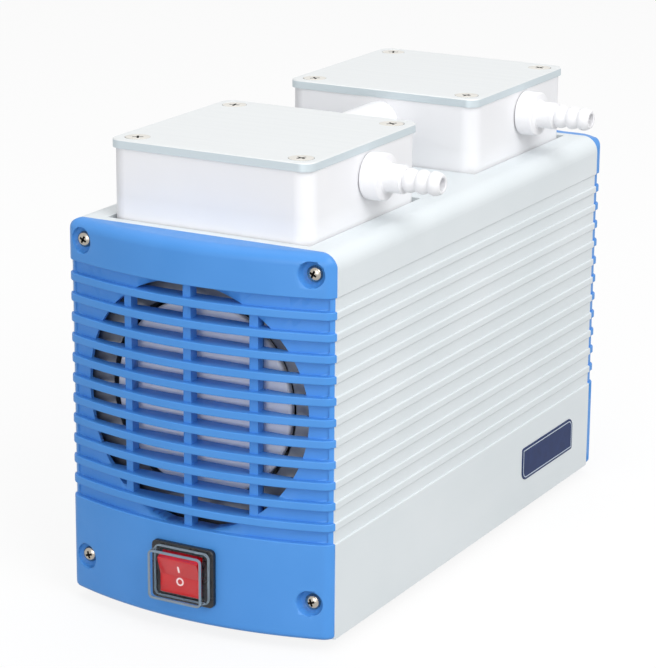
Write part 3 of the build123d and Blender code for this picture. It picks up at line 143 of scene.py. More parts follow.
def add_floor():
    """Wide pale floor, near white to the camera and in reflections, with the object's shadow on it."""
    mesh = bpy.data.meshes.new("floor")
    half = FLOOR_HALF_W
    corners = [(-half, -half, 0), (half, -half, 0), (half, half, 0), (-half, half, 0)]
    mesh.from_pydata(corners, [], [(0, 1, 2, 3)])
    floor = bpy.data.objects.new("floor", mesh)
    bpy.context.scene.collection.objects.link(floor)
    material = bpy.data.materials.new("floor")
    material.use_nodes = True
    nodes, links = material.node_tree.nodes, material.node_tree.links
    shader = nodes["Principled BSDF"]
    seen = background_ray(nodes, links)
    tone = nodes.new("ShaderNodeMapRange")
    tone.inputs["To Min"].default_value = FLOOR_BOUNCE
    tone.inputs["To Max"].default_value = FLOOR_SEEN
    links.new(seen, tone.inputs["Value"])
    links.new(tone.outputs["Result"], shader.inputs["Base Color"])
    shader.inputs["Roughness"].default_value = 0.9
    shader.inputs["Specular IOR Level"].default_value = 0.1
    white = nodes.new("ShaderNodeEmission")
    white.inputs["Color"].default_value = (1, 1, 1, 1)
    white.inputs["Strength"].default_value = 1.0
    share = nodes.new("ShaderNodeMath")
    share.operation = "MULTIPLY"
    share.inputs[1].default_value = FLOOR_WHITE
    links.new(seen, share.inputs[0])
    mix = nodes.new("ShaderNodeMixShader")
    links.new(share.outputs[0], mix.inputs["Fac"])
    links.new(shader.outputs[0], mix.inputs[1])
    links.new(white.outputs[0], mix.inputs[2])
    links.new(mix.outputs[0], nodes["Material Output"].inputs["Surface"])
    mesh.materials.append(material)


# ---------------------------------------------------------------- material helpers
NOISE_LOW = 0.3
NOISE_HIGH = 0.7


class Surface:
    """A Principled material with short ways to add noise, colour steps and bump."""

    def __init__(self, name, color, roughness, metallic=0.0):
        self.material = bpy.data.materials.new(name)
        self.material.use_nodes = True
        self.nodes = self.material.node_tree.nodes
        self.links = self.material.node_tree.links
        self.shader = self.nodes["Principled BSDF"]
        self.shader.inputs["Base Color"].default_value = (*color, 1)
        self.shader.inputs["Roughness"].default_value = roughness
        self.shader.inputs["Metallic"].default_value = metallic
        self.bumps = None

    def place(self, scale):
        """Object coordinates stretched by a scale along each axis."""
        coordinates = self.nodes.new("ShaderNodeTexCoord")
        mapping = self.nodes.new("ShaderNodeMapping")
        mapping.inputs["Scale"].default_value = scale
        self.links.new(coordinates.outputs["Object"], mapping.inputs["Vector"])
        return mapping.outputs["Vector"]

    def noise(self, scale, detail, stretch=(1, 1, 1)):
        """Noise value at a scale in features per metre."""
        noise = self.nodes.new("ShaderNodeTexNoise")
        noise.inputs["Scale"].default_value = scale
        noise.inputs["Detail"].default_value = detail
        self.links.new(self.place(stretch), noise.inputs["Vector"])
        return noise.outputs["Fac"]

    def spread(self, value, low, high):
        """The middle of a 0 to 1 value's range, where noise mostly lies, spread over low to high."""
        remap = self.nodes.new("ShaderNodeMapRange")
        remap.inputs["From Min"].default_value = NOISE_LOW
        remap.inputs["From Max"].default_value = NOISE_HIGH
        remap.inputs["To Min"].default_value = low
        remap.inputs["To Max"].default_value = high
        self.links.new(value, remap.inputs["Value"])
        return remap.outputs["Result"]

    def vary_roughness(self, value, low, high):
        """Roughness that runs from low to high with a value."""
        self.links.new(self.spread(value, low, high), self.shader.inputs["Roughness"])
        return self

    def vary_color(self, value, dark, light):
        """Base colour that runs from dark to light with a value."""
        mix = self.nodes.new("ShaderNodeMix")
        mix.data_type = "RGBA"
        mix.inputs["A"].default_value = (*dark, 1)
        mix.inputs["B"].default_value = (*light, 1)
        self.links.new(self.spread(value, 0, 1), mix.inputs["Factor"])
        self.links.new(mix.outputs["Result"], self.shader.inputs["Base Color"])
        return self

    def bump(self, value, depth, strength):
        """Adds a bump of a depth in metres over the bumps already there."""
        bump = self.nodes.new("ShaderNodeBump")
        bump.inputs["Distance"].default_value = depth
        bump.inputs["Strength"].default_value = strength
        self.links.new(value, bump.inputs["Height"])
        if self.bumps:
            self.links.new(self.bumps, bump.inputs["Normal"])
        self.bumps = bump.outputs["Normal"]
        self.links.new(self.bumps, self.shader.inputs["Normal"])
        return self

    def set(self, **values):
        """Sets shader sockets by their names, with _ for a space."""
        for name, value in values.items():
            self.shader.inputs[name.replace("_", " ")].default_value = value
        return self


def shade(value):
    """Linear colour from 0-255 screen values."""
    return tuple(((c / 255 + 0.055) / 1.055) ** 2.4 if c > 10 else c / 255 / 12.92 for c in value)


# ---------------------------------------------------------------- materials
def cover_blue():
    """Moulded blue plastic with a fine spark-eroded grain."""
    surface = Surface("cover_blue", shade((76, 147, 222)), 0.45)
    surface.vary_color(surface.noise(35, 2), shade((74, 145, 220)), shade((79, 149, 224)))
    surface.vary_roughness(surface.noise(260, 3), 0.38, 0.48)
    surface.bump(surface.noise(2600, 2), 0.00003, 0.35)
    return surface.set(Specular_IOR_Level=0.4)


def housing_coat():
    """Pale satin coat over an extrusion, with faint streaks along its length."""
    surface = Surface("housing", shade((222, 229, 232)), 0.42)
    surface.vary_color(surface.noise(20, 2), shade((220, 227, 230)), shade((225, 231, 234)))
    surface.vary_roughness(surface.noise(120, 3, (1, 0.02, 1)), 0.34, 0.46)
    surface.bump(surface.noise(900, 2, (1, 0.01, 1)), 0.00002, 0.25)
    surface.bump(surface.noise(1500, 2), 0.00002, 0.2)
    return surface.set(Specular_IOR_Level=0.45)


def white_ptfe():
    """Machined white fluoropolymer, slightly waxy, with faint cutter lines."""
    surface = Surface("white_ptfe", shade((240, 240, 243)), 0.45)
    surface.vary_color(surface.noise(18, 2), shade((238, 238, 241)), shade((242, 242, 244)))
    surface.bump(surface.noise(1400, 2, (1, 1, 0.04)), 0.00002, 0.2)
    return surface.set(Subsurface_Weight=0.08, Subsurface_Radius=(0.004, 0.004, 0.004),
                       Subsurface_Scale=1.0)


def bare_plate():
    """Bead-blasted, clear-anodised aluminium plate with a faint rolling grain, and painted shade that makes
    its upright milled edges greyer.
    """
    surface = Surface("bare_plate", shade((224, 227, 228)), 0.45, 0.4)
    # Painted shade: the colour runs from the lighter top to greyer upright and lower faces, by the height of
    # the normal
    normal_for_painted_shade = surface.nodes.new("ShaderNodeSeparateXYZ")
    surface.links.new(surface.nodes.new("ShaderNodeNewGeometry").outputs["Normal"], normal_for_painted_shade.inputs[0])
    surface.vary_color(normal_for_painted_shade.outputs["Z"], shade((204, 215, 220)), shade((225, 228, 229)))
    surface.vary_roughness(surface.noise(300, 3, (0.03, 1, 1)), 0.38, 0.52)
    surface.bump(surface.noise(3000, 2), 0.00002, 0.3)
    return surface


def polished_steel():
    """Stainless screw steel."""
    surface = Surface("screw_steel", shade((176, 170, 160)), 0.2, 1.0)
    surface.vary_roughness(surface.noise(900, 3), 0.14, 0.3)
    surface.bump(surface.noise(2500, 2), 0.00002, 0.2)
    return surface


def brushed_steel():
    """Pale stainless steel of the countersunk screws."""
    surface = Surface("brushed_steel", shade((222, 219, 212)), 0.38, 0.5)
    surface.vary_roughness(surface.noise(700, 3), 0.3, 0.46)
    surface.bump(surface.noise(2500, 2), 0.00002, 0.2)
    return surface


def ground_steel():
    """Ground bearing and shaft steel."""
    surface = Surface("steel", shade((165, 165, 168)), 0.28, 1.0)
    surface.vary_roughness(surface.noise(700, 3, (1, 0.1, 1)), 0.2, 0.36)
    return surface


def zinc_plate():
    """Zinc-plated sheet with a faint cloudy spangle."""
    surface = Surface("zinc_plate", shade((150, 152, 156)), 0.4, 0.8)
    surface.vary_color(surface.noise(90, 3), shade((140, 142, 147)), shade((160, 162, 165)))
    surface.vary_roughness(surface.noise(160, 3), 0.32, 0.48)
    return surface


def cast_alloy():
    """Die-cast aluminium with a coarse blasted skin."""
    surface = Surface("cast_alloy", shade((160, 162, 165)), 0.55, 0.85)
    surface.vary_color(surface.noise(60, 3), shade((150, 152, 155)), shade((168, 170, 172)))
    surface.bump(surface.noise(1800, 3), 0.00008, 0.5)
    return surface


def laminations():
    """Stacked sheet edges: fine lines across the length."""
    surface = Surface("lamination", shade((95, 98, 102)), 0.45, 0.8)
    wave = surface.nodes.new("ShaderNodeTexWave")
    wave.bands_direction = "Y"
    wave.inputs["Scale"].default_value = 320
    surface.links.new(surface.place((1, 1, 1)), wave.inputs["Vector"])
    surface.vary_color(wave.outputs["Fac"], shade((70, 73, 77)), shade((115, 118, 122)))
    surface.bump(wave.outputs["Fac"], 0.0001, 0.5)
    return surface


def copper_wire():
    """Enamelled winding wire, laid in rings."""
    surface = Surface("copper_wire", shade((184, 98, 50)), 0.35, 0.7)
    wave = surface.nodes.new("ShaderNodeTexWave")
    wave.wave_type = "RINGS"
    wave.rings_direction = "Y"
    wave.inputs["Scale"].default_value = 260
    wave.inputs["Distortion"].default_value = 2
    surface.links.new(surface.place((1, 1, 1)), wave.inputs["Vector"])
    surface.vary_color(wave.outputs["Fac"], shade((130, 60, 28)), shade((205, 120, 66)))
    surface.bump(wave.outputs["Fac"], 0.0003, 0.6)
    return surface


def fan_white():
    """Moulded white nylon with a soft sheen."""
    surface = Surface("fan_white", shade((246, 246, 252)), 0.4)
    surface.vary_color(surface.noise(40, 2), shade((243, 243, 250)), shade((249, 249, 253)))
    surface.bump(surface.noise(900, 2), 0.00003, 0.25)
    return surface


def rubber(name, value):
    """Matt rubber with a fine grain."""
    surface = Surface(name, shade(value), 0.75)
    surface.vary_roughness(surface.noise(400, 3), 0.65, 0.85)
    surface.bump(surface.noise(2200, 3), 0.00006, 0.5)
    return surface


def black_nylon():
    """Glossy black switch and socket plastic."""
    surface = Surface("switch_black", shade((24, 25, 28)), 0.3)
    surface.vary_roughness(surface.noise(500, 3), 0.24, 0.38)
    surface.bump(surface.noise(2400, 2), 0.00002, 0.25)
    return surface


def rocker_red():
    """Glossy translucent red polycarbonate."""
    surface = Surface("rocker_red", shade((186, 8, 14)), 0.2)
    surface.vary_color(surface.noise(120, 2), shade((178, 5, 11)), shade((194, 13, 18)))
    surface.bump(surface.noise(300, 1), 0.00003, 0.1)
    return surface.set(Coat_Weight=0.5, Coat_Roughness=0.08)


def clear_boot():
    """Clear soft cover over the rocker."""
    surface = Surface("clear_boot", (0.93, 0.95, 0.97), 0.06)
    surface.vary_roughness(surface.noise(60, 2), 0.03, 0.1)
    surface.bump(surface.noise(70, 1), 0.0002, 0.15)
    return surface.set(Transmission_Weight=1.0, IOR=1.05)


def brass_contact():
    """Nickel-plated contact brass."""
    surface = Surface("contact_brass", shade((214, 200, 160)), 0.25, 1.0)
    surface.vary_roughness(surface.noise(600, 2), 0.18, 0.34)
    return surface


def capacitor_can():
    """Drawn aluminium can."""
    surface = Surface("capacitor_can", shade((196, 198, 200)), 0.3, 1.0)
    surface.vary_roughness(surface.noise(500, 3, (1, 0.05, 1)), 0.22, 0.4)
    return surface


def cap_edge_highlight():
    """Edge of the clear cap, grey-blue and only partly clear: a painted highlight for the light that its
    thickness gathers.
    """
    surface = Surface("cap_edge_highlight", shade((158, 176, 190)), 0.15)
    surface.vary_roughness(surface.noise(200, 2), 0.1, 0.22)
    return surface.set(Transmission_Weight=0.35, IOR=1.3)


def screw_painted_shade():
    """Painted shade: dark metal standing in for the shade in a driver recess and in the gap round a
    countersunk head.
    """
    surface = Surface("screw_painted_shade", shade((46, 44, 42)), 0.5, 0.8)
    surface.vary_roughness(surface.noise(900, 2), 0.4, 0.6)
    return surface


def plate_navy():
    """Printed dark foil of the bare side plate."""
    surface = Surface("plate_navy", shade((20, 42, 90)), 0.5)
    surface.vary_color(surface.noise(200, 3), shade((18, 39, 84)), shade((23, 46, 96)))
    surface.bump(surface.noise(1600, 2), 0.00002, 0.25)
    return surface.set(Specular_IOR_Level=0.2)


def mark_white(name, value):
    """White printed or filled mark."""
    surface = Surface(name, shade(value), 0.4)
    surface.vary_roughness(surface.noise(800, 2), 0.32, 0.5)
    return surface


SLOT_MATERIALS = {
    "housing": housing_coat(),
    "cover_blue": cover_blue(),
    "white_ptfe": white_ptfe(),
    "bare_plate": bare_plate(),
    "screw_steel": polished_steel(),
    "switch_black": black_nylon(),
    "rocker_red": rocker_red(),
    "clear_boot": clear_boot(),
    "contact_brass": brass_contact(),
    "rubber": rubber("rubber", (30, 30, 31)),
    "elastomer": rubber("elastomer", (45, 45, 47)),
    "valve_film": rubber("valve_film", (206, 200, 184)),
    "cast_alloy": cast_alloy(),
    "steel": ground_steel(),
    "zinc_plate": zinc_plate(),
    "lamination": laminations(),
    "copper_wire": copper_wire(),
    "fan_white": fan_white(),
    "capacitor_can": capacitor_can(),
}
PALE_STEEL = brushed_steel()
# Painted shade for the screws' cross recesses and for the narrow edge round the countersunk heads
SCREW_SHADE = screw_painted_shade()
NAVY = plate_navy()
BORDER = mark_white("plate_border", (196, 208, 222))
# Painted highlight for the thick edges of the rocker's clear cap
RIM_HIGHLIGHT = cap_edge_highlight()
MARK = mark_white("switch_mark", (238, 214, 212))


def dress_nodes():
    """Gives every CAD node the material of its slot in the record."""
    for part in frame["record"]["subparts"]:
        node = frame["nodes"][part["node"]]
        node.data.materials.clear()
        node.data.materials.append(SLOT_MATERIALS[part["material_slot"]].material)


# ---------------------------------------------------------------- mesh helpers
TURN_STEPS = 48
OUTLINE_STEPS = 6
OUTLINE_LEAST_R = 0.05 * MM
SHARP_ANGLE = radians(30)


def ring_stack(rings, closed=False):
    """Mesh skinned over rings of equal length, capped at both ends or closed from the last to the first."""
    form = bmesh.new()
    rows = [[form.verts.new(point) for point in ring] for ring in rings]
    for low, high in zip(rows, rows[1:] + rows[:1] if closed else rows[1:]):
        for here, after in zip(range(len(low)), [*range(1, len(low)), 0]):
            form.faces.new((low[here], low[after], high[after], high[here]))
    if not closed:
        form.faces.new(rows[0])
        form.faces.new(rows[-1])
    bmesh.ops.recalc_face_normals(form, faces=form.faces)
    mesh = bpy.data.meshes.new("form")
    form.to_mesh(mesh)
    form.free()
    return mesh


def quarter(radius, steps):
    """Rise and inset along a quarter round, from its flat end up to the upright wall."""
    turns = [radians(90) * step / steps for step in range(steps + 1)]
    return [(radius * (1 - cos(turn)), radius * (1 - sin(turn))) for turn in turns]


def turned(profile, closed=False):
    """Form turned about Z from pairs of radius and height."""
    turns = [tau * step / TURN_STEPS for step in range(TURN_STEPS)]
    return ring_stack([[(r * cos(a), r * sin(a), z) for a in turns] for r, z in profile], closed)


def rounded_outline(width, height, radii, inset=0.0):
    """Corners of a rectangle about the origin, each rounded by its own radius, lower right one first."""
    points = []
    for quadrant, radius in enumerate(radii):
        side_x = 1 if quadrant in (0, 1) else -1
        side_y = 1 if quadrant in (1, 2) else -1
        bend = max(radius - inset, OUTLINE_LEAST_R)
        centre = Vector((side_x * (width / 2 - inset - bend), side_y * (height / 2 - inset - bend)))
        for step in range(OUTLINE_STEPS + 1):
            turn = radians(90) * (quadrant - 1 + step / OUTLINE_STEPS)
            points.append(centre + bend * Vector((cos(turn), sin(turn))))
    return points


def lift(points, height):
    """Flat points set at a height."""
    return [(point.x, point.y, height) for point in points]


def combine(mesh, other, operation):
    """A mesh cut by, or cut down to, another."""
    base = bpy.data.objects.new("base", mesh)
    tool = bpy.data.objects.new("tool", other)
    for item in (base, tool):
        bpy.context.scene.collection.objects.link(item)
    modifier = base.modifiers.new("combine", "BOOLEAN")
    modifier.operation = operation
    modifier.solver = "EXACT"
    modifier.object = tool
    result = bpy.data.meshes.new_from_object(base.evaluated_get(bpy.context.evaluated_depsgraph_get()))
    bpy.data.objects.remove(base)
    bpy.data.objects.remove(tool)
    return result


def scatter(mesh, places):
    """One mesh repeated at every placing."""
    form = bmesh.new()
    for place in places:
        before = len(form.verts)
        form.from_mesh(mesh)
        form.verts.ensure_lookup_table()
        bmesh.ops.transform(form, matrix=place, verts=form.verts[before:])
    result = bpy.data.meshes.new("scatter")
    form.to_mesh(result)
    form.free()
    for material in mesh.materials:
        result.materials.append(material)
    return result


def facing(place, normal, up):
    """Placing with Z along a normal and Y near an upward direction."""
    z = Vector(normal).normalized()
    x = Vector(up).cross(z).normalized()
    turn = Matrix((x, z.cross(x), z)).transposed().to_4x4()
    return Matrix.Translation(place) @ turn


def add_piece(name, mesh, material, body="housing"):
    """Links a mesh as a piece that rides on a body, in a material unless the mesh has its own."""
    if not mesh.materials:
        mesh.materials.append(material)
    mesh.shade_smooth()
    mesh.set_sharp_from_angle(angle=SHARP_ANGLE)
    piece = bpy.data.objects.new(name, mesh)
    bpy.context.scene.collection.objects.link(piece)
    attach(piece, body)
    return piece


# ---------------------------------------------------------------- end covers
# The solid's bulge, plain bands and bars, which the skin follows
COVER_SAG = 12.5 * MM
LOW_BAND = 46 * MM
HIGH_BAND = 20 * MM
BAR_COUNT = 11
BAR_H = 3.7 * MM
# The skin's rounded edges and grooves
BAR_EDGE_R = 0.5 * MM
BAR_EDGE_STEPS = 3
GROOVE_DEPTH = 2.5 * MM
GROOVE_SIDE_DEPTH = 0.4 * MM
TOP_ROUND_R = 5.5 * MM
TOP_ROUND_STEPS = 8
FOOT_ROUND_R = 2.2 * MM
FOOT_ROUND_STEPS = 4
CORNER_R = 6.5 * MM
CORNER_LEAST_R = 0.6 * MM
CORNER_STEPS = 8
FRONT_STEPS = 48
BAND_STEP = 4 * MM
# How far the skin lies inside the solid, and how far it reaches past the joint with the housing
SKIN_TRIM = 0.08 * MM
SKIN_OVERLAP = 4 * MM
WELD_DISTANCE = 0.01 * MM
# The rear cover's flanks: their extra depth, the places across over which it sets in, and how much stays
# as it is at the joint, up to a place across and beyond it
REAR_FLANK = 4.0 * MM
REAR_BLEND = (46 * MM, 63 * MM)
REAR_FLANK_X = 67 * MM
REAR_FLANK_FROM = 2.2 * MM
REAR_JOINT_FROM = 0.1 * MM


def cover_rows(low, high):
    """Height, front inset and side inset up a cover: rounded foot, grooves between bars, rounded top."""
    gap = (high - low - LOW_BAND - HIGH_BAND - BAR_COUNT * BAR_H) / (BAR_COUNT + 1)
    rows = [(low + rise, inset, inset) for rise, inset in quarter(FOOT_ROUND_R, FOOT_ROUND_STEPS)]
    rows += [(low + step * BAND_STEP, 0, 0) for step in range(1, int(LOW_BAND / BAND_STEP))]
    edge = quarter(BAR_EDGE_R, BAR_EDGE_STEPS)
    for bar in range(BAR_COUNT + 1):
        floor = low + LOW_BAND + bar * (gap + BAR_H)
        rows += [(floor - rise, inset, min(inset, GROOVE_SIDE_DEPTH)) for rise, inset in reversed(edge)]
        rows += [(floor, GROOVE_DEPTH, GROOVE_SIDE_DEPTH), (floor + gap, GROOVE_DEPTH, GROOVE_SIDE_DEPTH)]
        rows += [(floor + gap + rise, inset, min(inset, GROOVE_SIDE_DEPTH)) for rise, inset in edge]
    plain = int((HIGH_BAND - TOP_ROUND_R) / BAND_STEP)
    rows += [(high - HIGH_BAND + step * BAND_STEP, 0, 0) for step in range(1, plain)]
    top = quarter(TOP_ROUND_R, TOP_ROUND_STEPS)
    return rows + [(high - rise, inset, inset) for rise, inset in reversed(top)]


def cover_ring(side, crest, joint, half_w, row):
    """Outline of a cover at one height: bulged front, rounded upright corners and straight flanks."""
    height, inset, side_inset = row
    bulge_r = (half_w ** 2 + COVER_SAG ** 2) / (2 * COVER_SAG)
    bend = max(CORNER_R - inset * (CORNER_R - CORNER_LEAST_R) / TOP_ROUND_R, CORNER_LEAST_R)
    radius = bulge_r - inset - SKIN_TRIM
    flank = half_w - side_inset - SKIN_TRIM
    middle = crest - bulge_r
    corner = Vector((flank - bend, middle + ((radius - bend) ** 2 - (flank - bend) ** 2) ** 0.5))
    lean = atan2(corner.y - middle, corner.x)
    turns = [lean * step / CORNER_STEPS for step in range(CORNER_STEPS + 1)]
    right = [corner + bend * Vector((cos(turn), sin(turn))) for turn in turns]
    turns = [lean + (pi - 2 * lean) * step / FRONT_STEPS for step in range(1, FRONT_STEPS)]
    front = [Vector((radius * cos(turn), middle + radius * sin(turn))) for turn in turns]
    left = [Vector((-point.x, point.y)) for point in reversed(right)]
    back = [Vector((-flank, joint - SKIN_OVERLAP)), Vector((flank, joint - SKIN_OVERLAP))]
    return [(point.x, side * point.y, height) for point in right + front + left + back]


def deepen_flanks(mesh, joint):
    """Moves the rear cover's outer parts back, all but what meets the housing, for deeper flanks."""
    start, end = REAR_BLEND
    for vertex in mesh.vertices:
        share = min(max((abs(vertex.co.x) - start) / (end - start), 0), 1)
        fixed = REAR_FLANK_FROM if abs(vertex.co.x) < REAR_FLANK_X else REAR_JOINT_FROM
        if vertex.co.y > joint + fixed:
            vertex.co.y += REAR_FLANK * share * share * (3 - 2 * share)


def add_cover(name, side):
    """End cover cut down to its moulded skin: rounded edges and grooves that run out round its corners."""
    low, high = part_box(name)
    crest = side * (high.y if side > 0 else low.y)
    joint = side * (low.y if side > 0 else high.y)
    skin = ring_stack([cover_ring(side, crest, joint, high.x, row) for row in cover_rows(low.z, high.z)])
    solid = bmesh.new()
    solid.from_mesh(frame["nodes"][name].data)
    bmesh.ops.remove_doubles(solid, verts=solid.verts, dist=WELD_DISTANCE)
    copy = bpy.data.meshes.new(name)
    solid.to_mesh(copy)
    solid.free()
    copy.materials.clear()
    mesh = combine(copy, skin, "INTERSECT")
    if side > 0:
        deepen_flanks(mesh, joint)
    piece = add_piece(f"{name}_skin", mesh, SLOT_MATERIALS["cover_blue"].material)
    normals = piece.modifiers.new("normals", "WEIGHTED_NORMAL")
    normals.keep_sharp = True
    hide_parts(name)


# ---------------------------------------------------------------- screws
PAN_HEAD_R = 3.7 * MM
PAN_HEAD_H = 2.8 * MM
PAN_RIM_H = 1.0 * MM
PAN_DOME_ANGLES = (0, 12, 25, 38, 52, 66, 78, 85)
PAN_SHANK_R = 2.0 * MM
PAN_SHANK_L = 13 * MM
PAN_FIRST_TURN = 17
PAN_NEXT_TURN = 23
SINK_HEAD_R = 5.95 * MM
# Width and height of the head's narrow edge, which is painted dark as shade
SINK_EDGE_W = 0.22 * MM
SINK_EDGE_H = 0.12 * MM
SINK_SHANK_R = 3.0 * MM
SINK_DROP = 0.05 * MM
SINK_FROM_SIDE = 6.0 * MM
SINK_FIRST_TURN = 31
SINK_CORNER_TURN = 37
SINK_PLATE_TURN = 11
# Reach, width and depth of the cross recesses, the share of them left at the bottom, and how far the form
# that cuts them stands over the head
PAN_RECESS = (2.1 * MM, 1.15 * MM, 1.7 * MM)
SINK_RECESS = (2.7 * MM, 1.1 * MM, 2.0 * MM)
RECESS_TAPER = 0.4
RECESS_RISE = 0.2 * MM


def cross_recess(size, top):
    """Tapered cross that a driver fits, sunk from a height."""
    reach, width, depth = size
    rings = []
    for scale, height in ((RECESS_TAPER, top - depth), (1.0, top + RECESS_RISE)):
        far, near = reach * scale, width * scale / 2
        arm = [Vector((far, -near)), Vector((far, near)), Vector((near, near))]
        turns = [Matrix.Rotation(radians(90) * quadrant, 2) for quadrant in range(4)]
        rings.append(lift([turn @ point for turn in turns for point in arm], height))
    return ring_stack(rings)


def screw(profile, recess_size, top, metal):
    """Turned screw, its cross recess in painted shade."""
    body = turned(profile)
    recess = cross_recess(recess_size, top)
    for mesh in (body, recess):
        mesh.materials.append(metal.material)
        mesh.materials.append(SCREW_SHADE.material)
    # Painted shade: the recess faces take the dark second material
    for face in recess.polygons:
        face.material_index = 1
    return combine(body, recess, "DIFFERENCE")


def add_cover_screws():
    """Eight pan-head screws at the bottom of the covers' pockets."""
    low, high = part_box("cover_screws")
    dome = [(PAN_HEAD_R * cos(radians(a)), PAN_RIM_H + (PAN_HEAD_H - PAN_RIM_H) * sin(radians(a)))
            for a in PAN_DOME_ANGLES]
    profile = [(PAN_SHANK_R, -PAN_SHANK_L), (PAN_SHANK_R, 0), (PAN_HEAD_R, 0), *dome]
    pan = screw(profile, PAN_RECESS, PAN_HEAD_H, SLOT_MATERIALS["screw_steel"])
    across, bottom, top = high.x - PAN_HEAD_R, low.z + PAN_HEAD_R, high.z - PAN_HEAD_R
    seats = {-1: low.y + PAN_HEAD_H, 1: high.y - PAN_HEAD_H}
    places = []
    for count, (x, z, side) in enumerate(product((-across, across), (bottom, top), (-1, 1))):
        turn = Matrix.Rotation(radians(PAN_FIRST_TURN + PAN_NEXT_TURN * count), 4, "Z")
        places.append(facing((x, seats[side], z), (0, side, 0), (0, 0, 1)) @ turn)
    piece = add_piece("pan_screws", scatter(pan, places), None)
    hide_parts("cover_screws")


def add_head_screws():
    """Eight countersunk screws, flush with the top plates."""
    low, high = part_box("head_screws")
    depth = SINK_HEAD_R - SINK_SHANK_R
    profile = [(SINK_SHANK_R, low.z - high.z), (SINK_SHANK_R, -depth), (SINK_HEAD_R, -SINK_EDGE_H),
               (SINK_HEAD_R - SINK_EDGE_W, 0)]
    sunk = screw(profile, SINK_RECESS, 0, PALE_STEEL)
    # Painted shade: the upward faces of the narrow edge round each head take the dark second material, a
    # dark line for the gap at the countersink
    for face in sunk.polygons:
        if face.center.xy.length > SINK_HEAD_R - SINK_EDGE_W and face.normal.z > 0.3:
            face.material_index = 1
    reach = high.x - SINK_FROM_SIDE
    places = []
    for count, plate in enumerate(("front_top_plate", "rear_top_plate")):
        near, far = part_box(plate)
        middle = (near.y + far.y) / 2
        for corner, (y, x) in enumerate(product((-reach, reach), repeat=2)):
            angle = radians(SINK_FIRST_TURN + SINK_CORNER_TURN * corner + SINK_PLATE_TURN * count)
            seat = Matrix.Translation((x, middle + y, far.z - SINK_DROP))
            places.append(seat @ Matrix.Rotation(angle, 4, "Z"))
    piece = add_piece("sunk_screws", scatter(sunk, places), None)
    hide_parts("head_screws")


# ---------------------------------------------------------------- hose barbs
# Radius and length of the flange and of the neck
BARB_FLANGE = (11 * MM, 9 * MM)
BARB_NECK = (6.6 * MM, 9.5 * MM)
FLANGE_CHAMFER = 0.5 * MM
FLANGE_EDGE_R = 0.9 * MM
FLANGE_EDGE_STEPS = 4
NECK_CHAMFER = 0.8 * MM
NECK_TAPER_L = 0.6 * MM
TIP_CHAMFER = 0.3 * MM
BARB_CREST_R = 5.7 * MM
BARB_ROOT_R = 4.5 * MM
BARB_BORE_R = 3.0 * MM
BARB_RIDGES = 3
RIDGE_L = 6.2 * MM
# One ridge: shares of its length, and of the rise from root to crest
RIDGE_WAVE = ((0.0, 0.0), (0.08, 0.45), (0.2, 0.85), (0.34, 1.0), (0.52, 0.92), (0.72, 0.55), (0.88, 0.15))
STUB_R = 6.8 * MM


def add_barb(name):
    """Turned hose barb: flange, neck, rounded ridges and a bore."""
    low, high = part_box(name)
    length = high.x - low.x
    flange_r, flange_l = BARB_FLANGE
    neck_r, neck_l = BARB_NECK
    start = length - BARB_RIDGES * RIDGE_L
    seat = start - neck_l
    back = seat - flange_l
    profile = [(BARB_BORE_R, 0), (STUB_R, 0), (STUB_R, back), (flange_r - FLANGE_CHAMFER, back)]
    profile += [(flange_r, back + FLANGE_CHAMFER)]
    edge = quarter(FLANGE_EDGE_R, FLANGE_EDGE_STEPS)
    profile += [(flange_r - inset, seat - rise) for rise, inset in reversed(edge)]
    profile += [(neck_r + NECK_CHAMFER, seat), (neck_r, seat + NECK_CHAMFER), (neck_r, start - NECK_TAPER_L)]
    for ridge in range(BARB_RIDGES):
        foot = start + ridge * RIDGE_L
        profile += [(BARB_ROOT_R + (BARB_CREST_R - BARB_ROOT_R) * swell, foot + RIDGE_L * along)
                    for along, swell in RIDGE_WAVE]
    profile += [(BARB_ROOT_R - TIP_CHAMFER, length), (BARB_BORE_R + TIP_CHAMFER, length),
                (BARB_BORE_R, length - TIP_CHAMFER)]
    barb = turned(profile, closed=True)
    barb.transform(facing((low.x, (low.y + high.y) / 2, (low.z + high.z) / 2), (1, 0, 0), (0, 0, 1)))
    piece = add_piece(f"{name}_turned", barb, SLOT_MATERIALS["white_ptfe"].material)
    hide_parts(name)


# ---------------------------------------------------------------- switch marks and cap rims
MARK_RISE = 3.15 * MM
MARK_T = 0.12 * MM
MARK_SINK = 0.02 * MM
MARK_BAR = (0.9 * MM, 3.4 * MM)
MARK_BAR_R = 0.15 * MM
MARK_RING = (1.25 * MM, 1.95 * MM)
EYE_DISTANCE = 20 * MM
RIM_W = 1.0 * MM
RIM_T = 0.7 * MM
RIM_CORNER_R = 2.6 * MM
FRONT_RIM_SPREAD = -0.2 * MM
FOOT_RIM_SPREAD = 0.5 * MM


def rocker_place(rise):
    """Placing on the rocker's face, at a height over or under its middle."""
    low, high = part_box("switch_body")
    eye = Vector((0, low.y - EYE_DISTANCE, (low.z + high.z) / 2 + rise))
    _, point, normal, _ = frame["nodes"]["switch_rocker"].ray_cast(eye, (0, 1, 0))
    return facing(point - normal * MARK_SINK, normal, (0, 0, 1))


def add_switch_marks():
    """A bar over a ring, printed white on the rocker."""
    bar = rounded_outline(*MARK_BAR, (MARK_BAR_R,) * 4)
    stroke = ring_stack([lift(bar, 0), lift(bar, MARK_T)])
    inner, outer = MARK_RING
    loop = turned([(inner, 0), (outer, 0), (outer, MARK_T), (inner, MARK_T)], closed=True)
    for name, mesh, rise in (("mark_on", stroke, MARK_RISE), ("mark_off", loop, -MARK_RISE)):
        mesh.transform(rocker_place(rise))
        add_piece(name, mesh, MARK.material, "switch_rocker_body")


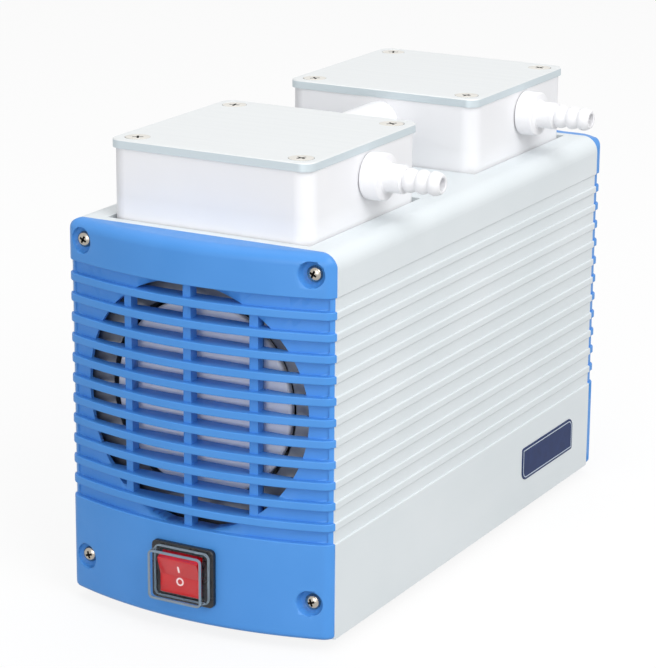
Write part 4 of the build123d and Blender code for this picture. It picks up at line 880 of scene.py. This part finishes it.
def add_boot_rims():
    """Thick edges of the rocker's clear cap, in a grey painted highlight: a smaller one round its front, a
    larger one round its foot.
    """
    low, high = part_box("switch_boot")
    size = high - low
    rims = (("boot_front_rim", RIM_T, FRONT_RIM_SPREAD), ("boot_foot_rim", size.y, FOOT_RIM_SPREAD))
    for name, depth, spread in rims:
        middle = (0, low.y + depth, (low.z + high.z) / 2)
        width, height = size.x + 2 * spread, size.z + 2 * spread
        radii = (RIM_CORNER_R + spread,) * 4
        outer, inner = (rounded_outline(width, height, radii, inset) for inset in (0, RIM_W))
        rows = [lift(outer, 0), lift(outer, RIM_T), lift(inner, RIM_T), lift(inner, 0)]
        rim = ring_stack(rows, closed=True)
        rim.transform(facing(middle, (0, -1, 0), (0, 0, 1)))
        add_piece(name, rim, RIM_HIGHLIGHT.material)


# ---------------------------------------------------------------- side plate
PLATE_W = 62 * MM
PLATE_H = 17.4 * MM
PLATE_FROM_REAR = 21 * MM
PLATE_LIFT = 15.6 * MM
PLATE_RADII = (1.2 * MM, 5 * MM, 1.2 * MM, 5 * MM)
PLATE_SINK = 0.1 * MM
PLATE_WALL_H = 0.35 * MM
PLATE_T = 0.45 * MM
PLATE_CHAMFER = 0.15 * MM
BORDER_INSETS = (1.1 * MM, 1.6 * MM)
BORDER_LOW = 0.4 * MM
BORDER_HIGH = 0.5 * MM


def add_side_plate():
    """Bare dark plate with a light border line, low on the right flank near its rear."""
    low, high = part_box("housing_shell")
    middle = (high.x, high.y - PLATE_FROM_REAR - PLATE_W / 2, low.z + PLATE_LIFT + PLATE_H / 2)
    place = facing(middle, (1, 0, 0), (0, 0, 1))
    edge, face, outer, inner = (rounded_outline(PLATE_W, PLATE_H, PLATE_RADII, inset)
                                for inset in (0, PLATE_CHAMFER, *BORDER_INSETS))
    plate = ring_stack([lift(edge, -PLATE_SINK), lift(edge, PLATE_WALL_H), lift(face, PLATE_T)])
    line = ring_stack([lift(outer, BORDER_LOW), lift(outer, BORDER_HIGH), lift(inner, BORDER_HIGH),
                       lift(inner, BORDER_LOW)], closed=True)
    for name, mesh, surface in (("side_plate", plate, NAVY), ("side_plate_border", line, BORDER)):
        mesh.transform(place)
        add_piece(name, mesh, surface.material)


# ---------------------------------------------------------------- the scene
bpy.context.scene.view_settings.view_transform = "Standard"
add_camera()
set_world(WORLD_STRENGTH)
add_floor()
for light_name, light_values in LIGHTS.items():
    add_area_light(light_name, *light_values)
dress_nodes()
add_cover("front_cover", -1)
add_cover("rear_cover", 1)
add_cover_screws()
add_head_screws()
for barb_name in ("inlet_barb", "outlet_barb"):
    add_barb(barb_name)
add_switch_marks()
add_boot_rims()
add_side_plate()
